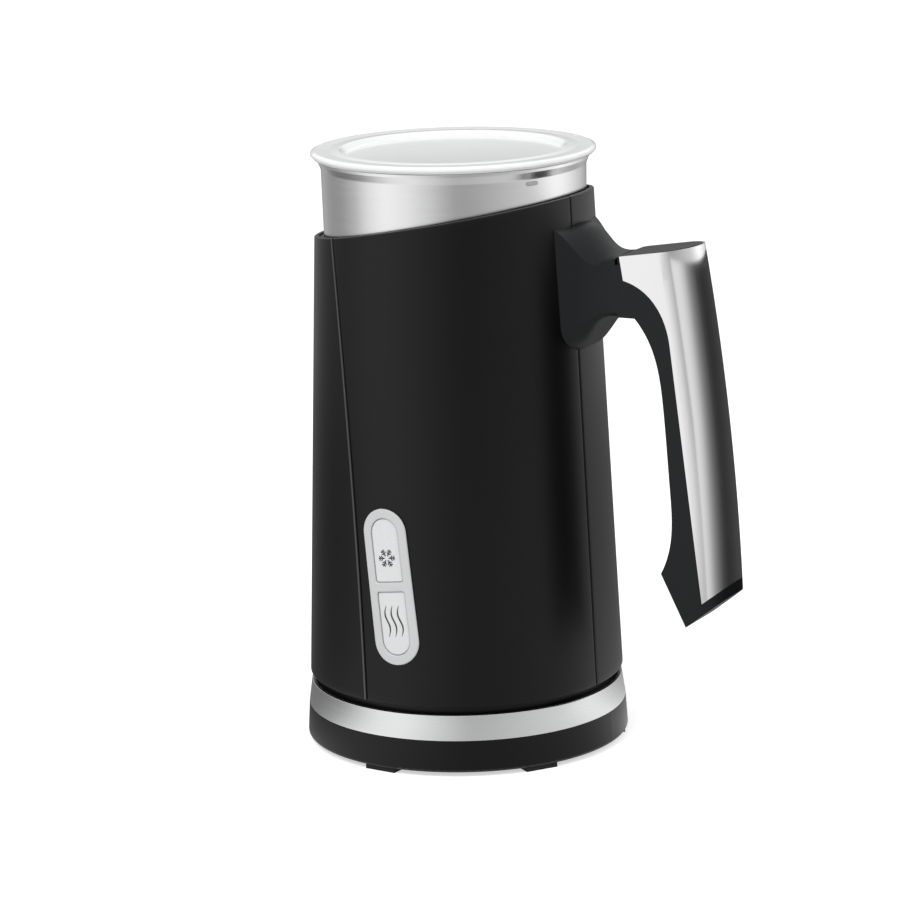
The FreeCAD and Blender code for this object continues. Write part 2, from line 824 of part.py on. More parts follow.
def make_carrier():
    """The cup that centres the jug; it stands on the chassis posts."""
    top = "(carrier_bottom + carrier_rise)"
    inner = "(%s + seat_gap)" % jug_radius_at(top)
    seat = "(heater_outer + heater_clear)"
    body = turned("jug_carrier", [
        (seat, "carrier_bottom"),
        (inner + " + carrier_wall", "carrier_bottom"),
        (inner + " + carrier_wall", top),
        (inner, top),
        (inner, "jug_floor"),
        (seat, "jug_floor"),
    ])
    keep(body, "jug_carrier")


# ---------------------------------------------------------------- jug

def make_jug():
    lip = "(jug_top_radius + jug_lip)"
    body = turned("steel_jug", [
        ("0", "jug_floor"),
        ("jug_low_radius - jug_corner", "jug_floor"),
        ("jug_low_radius", "jug_floor + jug_corner"),
        ("jug_top_radius", "jug_top - jug_lip * 2"),
        (lip, "jug_top - jug_wall"),
        (lip, "jug_top"),
        ("jug_top_radius", "jug_top"),
        ("jug_top_radius - jug_wall", "jug_top - jug_lip * 2"),
        ("jug_low_radius - jug_wall", "jug_floor + jug_corner + jug_wall / 2"),
        ("jug_low_radius - jug_corner - jug_wall / 2", "jug_floor + jug_wall"),
        ("0", "jug_floor + jug_wall"),
    ])
    keep(body, "steel_jug")


def make_whisk_pin():
    floor = "(jug_floor + jug_wall)"
    body = turned("whisk_pin", [
        ("0", floor),
        ("pin_foot", floor),
        ("pin_foot", "%s + pin_foot_rise" % floor),
        ("pin_radius", "%s + pin_foot_rise" % floor),
        ("pin_radius", "%s + pin_rise" % floor),
        ("0", "%s + pin_rise" % floor),
    ])
    keep(body, "whisk_pin")


# ---------------------------------------------------------------- heating and drive

HEATER_BOTTOM = "(jug_floor - heater_thick)"
BRACKET_TOP = "(bracket_bottom + bracket_thick)"
ROTOR_BOTTOM = "(jug_floor - rotor_gap - rotor_thick)"


def make_heater():
    body = turned("heater_plate", [
        ("heater_inner", HEATER_BOTTOM),
        ("heater_outer", HEATER_BOTTOM),
        ("heater_outer", "jug_floor"),
        ("heater_inner", "jug_floor"),
    ])
    keep(body, "heater_plate")


def make_thermostat():
    low = HEATER_BOTTOM + " - thermostat_rise"
    can = cylinder("thermostat_can", "thermostat_radius", low, "thermostat_rise", "-thermostat_reach")
    keep(can, "thermostat")


def make_motor():
    can = cylinder("motor_can", "motor_radius", "bracket_bottom - motor_length", "motor_length")
    boss = cylinder("motor_boss", "motor_boss", "bracket_bottom", "bracket_thick + motor_boss_proud")
    low = "bracket_bottom - shaft_in - shaft_gap"
    bore = cylinder("motor_bore", "shaft_radius + shaft_gap", low, "2 * shaft_in")
    keep(cut("motor_cut", fused("motor_solid", [can, boss]), bore), "motor")


def make_bracket():
    body = turned("motor_bracket", [
        ("motor_boss + seat_gap", "bracket_bottom"),
        ("bracket_radius", "bracket_bottom"),
        ("bracket_radius", BRACKET_TOP),
        ("motor_boss + seat_gap", BRACKET_TOP),
    ])
    legs = ring_spots(3, "bracket_circle", "bracket_leg", "post_phase")
    padded(body, "bracket_legs", legs, BRACKET_TOP, "%s - %s" % (HEATER_BOTTOM, BRACKET_TOP))
    keep(body, "motor_bracket")


def make_rotor():
    rise = "%s + rotor_thick - bracket_bottom + shaft_in" % ROTOR_BOTTOM
    keep(cylinder("motor_shaft_rod", "shaft_radius", "bracket_bottom - shaft_in", rise), "motor_shaft")
    body = turned("drive_rotor", [
        ("shaft_radius", ROTOR_BOTTOM),
        ("rotor_radius", ROTOR_BOTTOM),
        ("rotor_radius", "%s + rotor_thick" % ROTOR_BOTTOM),
        ("shaft_radius", "%s + rotor_thick" % ROTOR_BOTTOM),
    ])
    pockets = ring_spots(2, "magnet_circle", "magnet_radius")
    drilled(body, "magnet_pockets", pockets, "%s + rotor_thick - magnet_depth" % ROTOR_BOTTOM, "magnet_depth")
    keep(body, "drive_rotor")
    low = "%s + rotor_thick - magnet_depth" % ROTOR_BOTTOM
    magnets = [cylinder("drive_magnet_%d" % i, radius, low, "magnet_depth", x, y)
               for i, (x, y, radius) in enumerate(pockets)]
    keep(grouped("drive_magnet_group", magnets), "drive_magnets")


# ---------------------------------------------------------------- whisk

WHISK_BOTTOM = "(jug_floor + jug_wall + pin_foot_rise + whisk_float)"
COIL_CIRCLE = "(whisk_disc + coil_radius - coil_bite)"


def make_whisk():
    bore = "(pin_radius + whisk_bore_gap)"
    body = turned("whisk_hub", [
        (bore, WHISK_BOTTOM),
        ("whisk_disc", WHISK_BOTTOM),
        ("whisk_disc", "%s + whisk_thick" % WHISK_BOTTOM),
        ("whisk_hub", "%s + whisk_thick" % WHISK_BOTTOM),
        ("whisk_hub - whisk_hub_taper", "%s + whisk_rise" % WHISK_BOTTOM),
        (bore, "%s + whisk_rise" % WHISK_BOTTOM),
    ])
    groove = doc.addObject("Part::Torus", "coil_groove")
    link(groove, Radius1=COIL_CIRCLE, Radius2="coil_radius + seat_gap")
    put(groove, "0", "0", "%s + whisk_thick / 2" % WHISK_BOTTOM)
    pockets = ring_spots(2, "magnet_circle", "whisk_magnet_radius")
    low = "%s + whisk_magnet_floor" % WHISK_BOTTOM
    drilled(body, "whisk_magnet_pockets", pockets, low, "whisk_magnet_depth")
    keep(cut("whisk_hub_cut", body, groove), "whisk_hub")
    coil = doc.addObject("Part::Torus", "whisk_coil_ring")
    link(coil, Radius1=COIL_CIRCLE, Radius2="coil_radius")
    put(coil, "0", "0", "%s + whisk_thick / 2" % WHISK_BOTTOM)
    keep(coil, "whisk_coil")
    magnets = [cylinder("whisk_magnet_%d" % i, radius, low, "whisk_magnet_depth", x, y)
               for i, (x, y, radius) in enumerate(pockets)]
    keep(grouped("whisk_magnet_group", magnets), "whisk_magnets")


# ---------------------------------------------------------------- lid

def make_lid():
    flange = "(lid_top - lid_flange)"
    dish = "(lid_top - lid_dish)"
    under = "(lid_top - lid_dish - lid_thick)"
    skirt = "(jug_top_radius - jug_wall - seal_section)"
    skirt_low = "(%s - lid_skirt)" % flange
    body = turned("lid", [
        ("0", under),
        ("%s - lid_skirt_wall" % skirt, under),
        ("%s - lid_skirt_wall" % skirt, skirt_low),
        (skirt, skirt_low),
        (skirt, flange),
        ("lid_radius - lid_edge", flange),
        ("lid_radius", "%s + lid_edge" % flange),
        ("lid_radius", "lid_top - lid_edge"),
        ("lid_radius - lid_edge", "lid_top"),
        ("lid_dish_radius", "lid_top"),
        ("lid_dish_radius - lid_edge", dish),
        ("0", dish),
    ])
    keep(body, "lid")


def make_lid_seal():
    flange = "(lid_top - lid_flange)"
    inner = "(jug_top_radius - jug_wall - seal_section)"
    outer = "(jug_top_radius - jug_wall - seal_gap)"
    body = turned("lid_seal", [
        (inner, "%s - lid_skirt + seal_up" % flange),
        (outer, "%s - lid_skirt + seal_up + seal_bevel" % flange),
        (outer, "%s - lid_skirt + seal_up + seal_rise - seal_bevel" % flange),
        (inner, "%s - lid_skirt + seal_up + seal_rise" % flange),
    ])
    keep(body, "lid_seal")


# ---------------------------------------------------------------- controls

CONTROL_FRONT = "-(control_radius + control_reach / 2)"


def control_prism(name, width, length, low="-control_reach", high="control_reach"):
    """A pill-shaped bar through the front wall, leaning with the seam, kept between two heights."""
    block = doc.addObject("Part::Box", name + "_middle")
    link(block, Length=width, Width="control_reach", Height="(%s) - (%s)" % (length, width))
    put(block, "-(%s) / 2" % width, CONTROL_FRONT, "-((%s) - (%s)) / 2" % (length, width))
    ends = []
    for side in ("-", ""):
        end = doc.addObject("Part::Cylinder", name + ("_low" if side else "_high"))
        link(end, Radius="(%s) / 2" % width, Height="control_reach")
        end.Placement = Placement(Vector(), Rotation(Vector(1, 0, 0), -90))
        ends.append(put(end, "0", CONTROL_FRONT, "%s((%s) - (%s)) / 2" % (side, length, width)))
    pill = fused(name + "_pill", [block] + ends)
    slab = doc.addObject("Part::Box", name + "_slab")
    link(slab, Length="2 * control_reach", Width="control_reach", Height="(%s) - (%s)" % (high, low))
    put(slab, "-control_reach", CONTROL_FRONT, low)
    bar = common(name, pill, slab)
    bar.Placement = Placement(Vector(), Rotation(Vector(0, -1, 0), 1))
    bar.setExpression(".Placement.Rotation.Angle", bind("control_tilt"))
    return put(bar, "0", "0", "control_height")


def between_cones(name, bar, outer, inner):
    """The stretch of a bar between two offsets of the shell's outer face."""
    trimmed = common(name + "_capped", bar, cone_solid(name + "_outside", outer))
    return cut(name, trimmed, cone_solid(name + "_inside", inner))


def make_bezel():
    flange = between_cones("bezel_flange", control_prism("bezel_face", "bezel_width", "bezel_length"),
                           "bezel_rise", "seat_gap / 2")
    neck_width = "bezel_width - 2 * bezel_flange - 2 * seat_gap"
    neck_length = "bezel_length - 2 * bezel_flange - 2 * seat_gap"
    neck = between_cones("bezel_neck", control_prism("bezel_body", neck_width, neck_length),
                         "bezel_rise / 2", "-shell_wall - neck_depth")
    solid = fused("bezel_solid", [flange, neck])
    upper = control_prism("upper_window", "window_width", "window_length", "window_web / 2")
    lower = control_prism("lower_window", "window_width", "window_length", high="-window_web / 2")
    keep(cut("bezel_upper_cut", cut("bezel_lower_cut", solid, lower), upper), "button_bezel")


def switch_x(side):
    return "-(%s switch_offset) * tan(control_tilt)" % side


def switch_z(side):
    return "(control_height %s switch_offset)" % side


def make_button(name, side, low, high, skirt_low, skirt_high):
    """A key that fills its window and hides a wider skirt behind the bezel."""
    key = between_cones(name + "_key", control_prism(
        name + "_key_bar", "window_width - 2 * button_gap", "window_length - 2 * button_gap", low, high),
        "bezel_rise - button_dip", "-shell_wall - key_depth")
    skirt = between_cones(name + "_skirt", control_prism(
        name + "_skirt_bar", "window_width + 2 * button_skirt", "window_length + 2 * button_skirt",
        skirt_low, skirt_high), "-shell_wall - skirt_depth", "-shell_wall - key_depth")
    face = "(board_face + switch_depth + button_travel + seat_gap)"
    stem = cylinder(name + "_stem", "stem_radius", "0", "stem_length")
    stem.Placement = Placement(Vector(), Rotation(Vector(1, 0, 0), 90))
    put(stem, switch_x(side), "-" + face, switch_z(side))
    keep(fused(name + "_solid", [key, skirt, stem]), name)


def make_buttons():
    far = "control_reach"
    make_button("button_cold", "+", "window_web / 2 + button_gap", far, "window_web / 2 - button_skirt", far)
    far = "-control_reach"
    make_button("button_hot", "-", far, "-window_web / 2 - button_gap", far, "-window_web / 2 + button_skirt")


def make_board():
    low = "(control_height - bezel_length / 2)"
    keep(box("board", "board_width", "board_thick", "carrier_bottom - board_gap - %s" % low, "0",
             "board_thick / 2 - board_face", low), "control_board")
    switches = [box("switch_%d" % i, "switch_side", "switch_depth", "switch_side", switch_x(side),
                    "-board_face - switch_depth / 2", switch_z(side) + " - switch_side / 2")
                for i, side in enumerate("-+")]
    keep(grouped("switch_group", switches), "button_switches")


# ---------------------------------------------------------------- handle

BOLT_HEIGHTS = ("bolt_low", "bolt_high")
MOUNT_SECTIONS = ("root", "shell", "rise", "dip", "low", "end")


def side_point(reach, height):
    return Vector(size(reach), 0, size(height))


def top_height(reach):
    """Height of the handle's sloping top at a distance from the axis."""
    return size("handle_top") - size("handle_top_slope") * (size("handle_top_reach") - reach)


def spline(points, start=None, end=None):
    curve = Part.BSplineCurve()
    if start is None:
        curve.interpolate(points)
    else:
        curve.interpolate(Points=points, InitialTangent=start, FinalTangent=end)
    return curve.toShape()


def handle_face(inset):
    """The side outline of arm and grip, its outer edge and ends moved in by inset."""
    shift = Vector(-inset, 0, 0)
    top = side_point("handle_top_reach", "handle_top") + shift
    middle = side_point("handle_mid_reach", "handle_mid_height") + shift
    low = side_point("handle_low_reach", "handle_low_height") + shift
    tip = side_point("handle_tip_reach", "handle_tip_height")
    start = size("arm_start")
    nose = Part.Arc(top, middle, low).toShape()
    bottom = Part.LineSegment(low, tip).toShape()
    heel_point = side_point("grip_heel_reach", "grip_heel_height")
    heel = Part.LineSegment(tip, heel_point).toShape()
    corner = side_point("arm_corner_reach", "arm_bottom")
    grip = spline([heel_point, side_point("grip_low_reach", "grip_low_height"),
                   side_point("grip_mid_reach", "grip_mid_height"),
                   side_point("grip_high_reach", "grip_high_height"),
                   side_point("grip_bend_reach", "grip_bend_height"), corner])
    inner_low = Vector(start, 0, size("arm_bottom"))
    inner_high = Vector(start, 0, top_height(start))
    back = Part.LineSegment(inner_low, inner_high).toShape()
    lid = Part.LineSegment(inner_high, top).toShape()
    under = Part.LineSegment(corner, inner_low).toShape()
    return Part.Face(Part.Wire([nose, bottom, heel, grip, under, back, lid]))


def handle_block(inset):
    """Arm and grip as a solid with a round nose, inset from the outside."""
    half = size("handle_width") / 2 - inset
    solid = handle_face(inset).extrude(Vector(0, 2 * half, 0))
    solid.translate(Vector(0, -half, 0))
    nose = [edge for edge in solid.Edges if isinstance(edge.Curve, Part.Circle) and edge.Length > 60]
    rounding = min(size("handle_nose"), size("handle_width") / 2 - size("nose_flat"))
    return solid.makeFillet(rounding - inset, nose)


def cover_region(margin):
    """The side outline of the steel cover, grown by a margin, as a bar right through the handle."""
    start = Vector(size("cover_start") - margin, 0, top_height(size("cover_start")) + CLEAR)
    corner = Vector(size("cover_start") - margin, 0, top_height(size("cover_start")))
    notch = side_point("cover_notch_reach", "cover_notch_height") + Vector(-margin, 0, -margin)
    bend = side_point("cover_bend_reach", "cover_bend_height") + Vector(-margin, 0, -margin)
    high = side_point("cover_high_reach", "cover_high_height") + Vector(-margin, 0, 0)
    low = side_point("cover_low_reach", "cover_low_height") + Vector(-margin, 0, -margin)
    slope = (side_point("handle_low_reach", "handle_low_height")
             - side_point("handle_tip_reach", "handle_tip_height")).normalize()
    far = low + slope * 4 * CLEAR
    wall = Part.LineSegment(start, corner).toShape()
    step = Part.LineSegment(corner, notch).toShape()
    sweep = spline([notch, bend, high], Vector(1, 0, -0.25), high.sub(low).normalize() * -1)
    flank = Part.LineSegment(high, low).toShape()
    bottom = Part.LineSegment(low, far).toShape()
    outside = Part.LineSegment(far, Vector(far.x, 0, start.z)).toShape()
    top = Part.LineSegment(Vector(far.x, 0, start.z), start).toShape()
    face = Part.Face(Part.Wire([wall, step, sweep, flank, bottom, outside, top]))
    return both_ways(face)


def both_ways(face):
    """A side outline drawn out well past the handle on both sides."""
    wide = 2 * size("handle_width")
    bar = face.extrude(Vector(0, 2 * wide, 0))
    bar.translate(Vector(0, -wide, 0))
    return bar


def mount_loft():
    """The flared block that joins the arm to the shell, with a saddle for the thumb on top."""
    sections = [saddle_section("mount_" + name) for name in MOUNT_SECTIONS]
    return Part.makeLoft(sections, True, False)


def saddle_section(name):
    """A cut across the mount: an arched top, straight sides and a rounded underside."""
    reach, half, radius = size(name + "_reach"), size(name + "_half"), size(name + "_round")
    edge, low = size(name + "_edge"), size(name + "_bottom")
    left, right = Vector(reach, -half, edge), Vector(reach, half, edge)
    top = Part.Arc(right, Vector(reach, 0, size(name + "_crown")), left).toShape()
    slant = radius * (1 - math.sqrt(0.5))
    left_low, right_low = Vector(reach, -half, low + radius), Vector(reach, half, low + radius)
    left_foot, right_foot = Vector(reach, -half + radius, low), Vector(reach, half - radius, low)
    left_turn = Vector(reach, -half + slant, low + slant)
    right_turn = Vector(reach, half - slant, low + slant)
    return Part.Wire([
        top,
        Part.LineSegment(left, left_low).toShape(),
        Part.Arc(left_low, left_turn, left_foot).toShape(),
        Part.LineSegment(left_foot, right_foot).toShape(),
        Part.Arc(right_foot, right_turn, right_low).toShape(),
        Part.LineSegment(right_low, right).toShape(),
    ])


def cap_region():
    """The slab under the handle's sloping top that the cap fills."""
    start = size("cover_start") - size("cap_lead")
    end = size("handle_top_reach") + CLEAR
    thick = size("cap_thick")
    corners = [Vector(start, 0, top_height(start) - thick), Vector(end, 0, top_height(end) - thick),
               Vector(end, 0, top_height(end) + CLEAR), Vector(start, 0, top_height(start) + CLEAR)]
    face = Part.Face(Part.makePolygon(corners + corners[:1]))
    return both_ways(face)


def shaped(name, shape):
    """A sub-part whose free-form shape is made by code from the sheet's sizes."""
    feature = doc.addObject("Part::Feature", name + "_shape")
    feature.Shape = shape
    feature.Placement = Placement()
    return keep(feature, name)


def make_handle():
    wall = size("cover_wall")
    gap = size("seat_gap")
    outer = handle_block(0)
    core = handle_block(wall)
    skin = outer.cut(core)
    region = cover_region(0)
    cap_bar = cap_region()
    shaped("handle_cover", skin.common(region))
    inner = handle_block(wall + gap)
    slot = outer.cut(inner).common(cover_region(gap))
    arm = outer.cut(slot).cut(cap_bar)
    seat = size("mount_seat")
    shell = Part.makeCone(size("shell_radius") + seat, size("shell_top_radius") + seat,
                          size("shell_top") - size("shell_bottom"), Vector(0, 0, size("shell_bottom")))
    body = arm.fuse(mount_loft().cut(cap_bar)).cut(shell)
    for height in BOLT_HEIGHTS:
        wall = size("shell_radius") - size("shell_taper") * (size(height) - size("shell_bottom"))
        start = Vector(wall - size("shell_wall"), 0, size(height))
        depth = size("bolt_length") + CLEAR / 2
        body = body.cut(Part.makeCylinder(size("screw_radius"), depth, start, Vector(1, 0, 0)))
    shaped("handle_body", body.removeSplitter())
    cap = inner.common(cap_bar)
    shaped("handle_top_cap", cap)


def make_handle_bolts():
    """Two screws through the shell's wall into the handle's mount; returns their holes."""
    screws, holes = [], []
    for i, height in enumerate(BOLT_HEIGHTS):
        wall = "(%s - shell_wall)" % shell_radius_at(height)
        head = cylinder("handle_head_%d" % i, "screw_head", "0", "bolt_head_thick")
        shank = cylinder("handle_shank_%d" % i, "screw_radius", "bolt_head_thick", "bolt_length")
        bolt = fused("handle_screw_%d" % i, [head, shank])
        hole = cylinder("handle_hole_%d" % i, "screw_radius + seat_gap", "0", "2 * bolt_length")
        for thing in (bolt, hole):
            thing.Placement = Placement(Vector(), Rotation(Vector(0, 1, 0), 90))
            put(thing, wall + " - bolt_head_thick - bolt_seat", "0", height)
        screws.append(bolt)
        holes.append(hole)
    keep(grouped("handle_screw_group", screws), "handle_screws")
    return fused("handle_holes", holes)


# ---------------------------------------------------------------- build, check and write

def check_model():
    for thing in doc.Objects:
        if {"Invalid", "Error"} & set(thing.State):
            raise RuntimeError("failed object: " + thing.Name)
    for node in nodes:
        if node.Shape.isNull() or not node.Shape.isValid():
            raise RuntimeError("bad shape: " + node.Label)
        if not node.Shape.Solids:
            raise RuntimeError("no solid: " + node.Label)


def write_parts():
    os.makedirs("parts", exist_ok=True)
    for node in nodes:
        node.Shape.exportStep("parts/" + node.Label + ".step")
        print(node.Label, len(node.Shape.Solids), round(node.Shape.Volume, 1))


def build():
    fill_sheet()
    make_base_shell()
    make_trim_ring()
    make_bottom_cover()
    make_feet()
    make_base_screws()
    make_power_plug()
    make_plug_contacts()
    make_cord_gland()
    make_socket()
    make_socket_contact()
    bolt_holes = make_handle_bolts()
    make_shell_and_panel(bolt_holes)
    make_collar()
    make_chassis()
    make_chassis_screws()
    make_carrier()
    make_jug()
    make_whisk_pin()
    make_heater()
    make_thermostat()
    make_motor()
    make_bracket()
    make_rotor()
    make_whisk()
    make_lid()
    make_lid_seal()
    make_bezel()
    make_buttons()
    make_board()
    make_handle()
    doc.recompute()
    check_model()
    write_parts()


build()
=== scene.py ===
# Milk frother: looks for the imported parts, in metres, in the same frame as the parts.
import math
import bmesh
import bpy
from mathutils import Matrix, Vector


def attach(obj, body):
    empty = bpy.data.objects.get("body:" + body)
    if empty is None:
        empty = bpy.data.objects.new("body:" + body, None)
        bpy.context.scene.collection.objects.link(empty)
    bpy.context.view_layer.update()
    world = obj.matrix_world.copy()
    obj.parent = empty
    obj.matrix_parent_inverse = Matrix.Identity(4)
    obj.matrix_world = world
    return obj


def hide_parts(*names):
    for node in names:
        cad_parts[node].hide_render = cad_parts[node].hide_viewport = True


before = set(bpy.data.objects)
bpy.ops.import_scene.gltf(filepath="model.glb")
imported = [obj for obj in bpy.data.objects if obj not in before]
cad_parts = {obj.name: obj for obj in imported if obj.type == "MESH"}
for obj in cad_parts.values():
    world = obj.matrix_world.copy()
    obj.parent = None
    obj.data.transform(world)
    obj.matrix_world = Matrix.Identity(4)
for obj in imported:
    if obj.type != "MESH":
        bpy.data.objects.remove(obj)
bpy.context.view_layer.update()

mm = 0.001


class Sock:
    # one socket, with arithmetic that adds Math nodes
    def __init__(self, finish, socket):
        self.finish = finish
        self.socket = socket

    def math(self, operation, *values):
        return self.finish.node("ShaderNodeMath", {"operation": operation}, dict(enumerate(values)))

    def __add__(self, other):
        return self.math("ADD", self, other)

    def __sub__(self, other):
        return self.math("SUBTRACT", self, other)

    def __rsub__(self, other):
        return self.math("SUBTRACT", other, self)

    def __mul__(self, other):
        return self.math("MULTIPLY", self, other)

    __radd__ = __add__
    __rmul__ = __mul__


class Finish:
    # a material, or the world, and one way to add any node to it
    def __init__(self, owner):
        self.owner = owner
        owner.use_nodes = True
        self.tree = owner.node_tree
        self.tree.nodes.clear()

    def node(self, kind, settings=None, inputs=None, output=0):
        node = self.tree.nodes.new(kind)
        for name, value in (settings or {}).items():
            if name == "stops":
                fillRamp(node.color_ramp, value)
            else:
                setattr(node, name, value)
        for name, value in (inputs or {}).items():
            socket = node.inputs[name]
            if isinstance(value, Sock):
                self.tree.links.new(value.socket, socket)
            else:
                socket.default_value = value
        return Sock(self, node.outputs[output])

    def output(self, kind, shader):
        node = self.tree.nodes.new(kind)
        self.tree.links.new(shader.socket, node.inputs["Surface"])


def fillRamp(ramp, stops):
    while len(ramp.elements) < len(stops):
        ramp.elements.new(0.5)
    for element, (place, colour) in zip(ramp.elements, stops):
        element.position = place
        element.color = grey(colour) if isinstance(colour, (int, float)) else (*colour, 1)


def grey(level):
    return (level, level, level, 1)


def tint(red, green, blue):
    return (red, green, blue, 1)


def placed(finish, stretch=(1, 1, 1)):
    # object coordinates, stretched
    coords = finish.node("ShaderNodeTexCoord", output=3)
    return finish.node("ShaderNodeVectorMath", {"operation": "MULTIPLY"}, {0: coords, 1: stretch})


def noise(finish, scale, detail=2.0, stretch=(1, 1, 1)):
    return finish.node("ShaderNodeTexNoise", inputs={
        "Vector": placed(finish, stretch), "Scale": scale, "Detail": detail})


def bumped(finish, height, strength, distance):
    return finish.node("ShaderNodeBump", inputs={
        "Strength": strength, "Distance": distance, "Height": height})


def between(finish, factor, low, high):
    # a colour that varies between two
    return finish.node("ShaderNodeMix", {"data_type": "RGBA"}, {0: factor, 6: low, 7: high}, output=2)


def onCircle(radius, angle, height):
    return radius * math.cos(angle), radius * math.sin(angle), height


def keepMesh(name, bm, body, slotName, finish, *nodes, sharp=35):
    # takes a mesh drawn in millimetres and keeps it as a piece, in metres
    for vertex in bm.verts:
        vertex.co *= mm
    bmesh.ops.recalc_face_normals(bm, faces=bm.faces)
    mesh = bpy.data.meshes.new(name)
    bm.to_mesh(mesh)
    bm.free()
    mesh.polygons.foreach_set("use_smooth", [True] * len(mesh.polygons))
    mesh.set_sharp_from_angle(angle=math.radians(sharp))
    piece = bpy.data.objects.new(name, mesh)
    bpy.context.scene.collection.objects.link(piece)
    mesh.materials.append(finish)
    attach(piece, body)
    if nodes:
        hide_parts(*nodes)
    return piece


lathe = {"arcBits": 7, "mostOfSide": 0.49, "steps": 256, "onAxis": 1e-6}


def softened(corners):
    # (across, up, rounding) corners of a closed outline, each corner turned into an arc
    points = []
    for i, (x, y, rounding) in enumerate(corners):
        here = Vector((x, y))
        if not rounding:
            points.append(here)
            continue
        back = Vector(corners[i - 1][:2]) - here
        ahead = Vector(corners[(i + 1) % len(corners)][:2]) - here
        half = back.angle(ahead) / 2
        most = lathe["mostOfSide"]
        reach = min(rounding / math.tan(half), back.length * most, ahead.length * most)
        radius = reach * math.tan(half)
        inward = (back.normalized() + ahead.normalized()).normalized()
        middle = here + inward * (radius / math.sin(half))
        start = here + back.normalized() * reach - middle
        end = here + ahead.normalized() * reach - middle
        turn = start.angle_signed(end)
        for k in range(lathe["arcBits"] + 1):
            points.append(middle + Matrix.Rotation(-turn * k / lathe["arcBits"], 2) @ start)
    return points


def turned(name, corners, body, slotName, finish, *nodes):
    # an outline of (radius, height, rounding) turned round the axis
    steps = lathe["steps"]
    bm = bmesh.new()
    rings = []
    for point in softened(corners):
        if point.x < lathe["onAxis"]:
            rings.append([bm.verts.new((0, 0, point.y))])
            continue
        rings.append([bm.verts.new(onCircle(point.x, math.tau * k / steps, point.y))
                      for k in range(steps)])
    for ring, after in zip(rings, rings[1:] + rings[:1]):
        for k in range(steps):
            corner = [ring[k % len(ring)], ring[(k + 1) % steps % len(ring)],
                      after[(k + 1) % steps % len(after)], after[k % len(after)]]
            corner = list(dict.fromkeys(corner))
            if len(corner) > 2:
                bm.faces.new(corner)
    return keepMesh(name, bm, body, slotName, finish, *nodes)


moulded = {"driftScale": 28, "paler": 4, "lift": 0.01, "glossDrift": 0.06, "grainStrength": 0.35}


def plastic(name, colour, roughness, specular, grain, grainHeight, wear=0.04):
    # moulded plastic: fine grain, faint drift in colour and gloss
    material = bpy.data.materials.new(name)
    finish = Finish(material)
    drift = noise(finish, moulded["driftScale"], 3)
    fine = noise(finish, grain, 2)
    pale = tuple(min(1, part * (1 + wear * moulded["paler"]) + wear * moulded["lift"]) for part in colour)
    finish.output("ShaderNodeOutputMaterial", finish.node("ShaderNodeBsdfPrincipled", inputs={
        "Base Color": between(finish, drift, tint(*colour), tint(*pale)),
        "Roughness": drift * moulded["glossDrift"] + (roughness - moulded["glossDrift"] / 2),
        "Specular IOR Level": specular,
        "Normal": bumped(finish, fine, moulded["grainStrength"], grainHeight)}))
    return material


brushed = {"broadScale": 0.12, "fineShare": 0.6, "broadShare": 0.4, "strength": 0.12, "depth": 0.00002}


def metal(name, colour, roughness, grain, stretch, brush=0.10):
    # drawn or brushed metal: streaks in colour and gloss along one direction
    material = bpy.data.materials.new(name)
    finish = Finish(material)
    streak = noise(finish, grain, 4, stretch)
    broad = noise(finish, grain * brushed["broadScale"], 2, stretch)
    mixed = streak * brushed["fineShare"] + broad * brushed["broadShare"]
    dark = tuple(part * (1 - brush) for part in colour)
    finish.output("ShaderNodeOutputMaterial", finish.node("ShaderNodeBsdfPrincipled", inputs={
        "Base Color": between(finish, mixed, tint(*dark), tint(*colour)),
        "Metallic": 1.0,
        "Roughness": streak * brush + (roughness - brush / 2),
        "Normal": bumped(finish, streak, brushed["strength"], brushed["depth"])}))
    return material


milky = {"cloudScale": 40, "dim": (0.94, 0.945, 0.95), "pale": (0.975, 0.98, 0.985), "roughness": 0.10,
         "glossDrift": 0.05, "ior": 1.45, "clear": 0.10, "ripple": 0.05, "rippleDepth": 0.0001}


def clearPlastic(name):
    # milky clear lid: mostly pale, a little see-through
    material = bpy.data.materials.new(name)
    finish = Finish(material)
    cloud = noise(finish, milky["cloudScale"], 3)
    finish.output("ShaderNodeOutputMaterial", finish.node("ShaderNodeBsdfPrincipled", inputs={
        "Base Color": between(finish, cloud, tint(*milky["dim"]), tint(*milky["pale"])),
        "Roughness": cloud * milky["glossDrift"] + milky["roughness"],
        "IOR": milky["ior"],
        "Transmission Weight": milky["clear"],
        "Normal": bumped(finish, cloud, milky["ripple"], milky["rippleDepth"])}))
    return material


# name, colour, roughness, specular level, then the grain's scale and height in metres
gloss = plastic("gloss_black_shell", (0.0014, 0.0014, 0.0016), 0.34, 0.24, 900, 0.00001)
soft = plastic("soft_black_handle", (0.0040, 0.0052, 0.0058), 0.46, 0.26, 2600, 0.00004)
matte = plastic("matte_black_inner", (0.010, 0.010, 0.011), 0.55, 0.35, 1800, 0.00004)
lidClear = clearPlastic("milky_clear_lid")
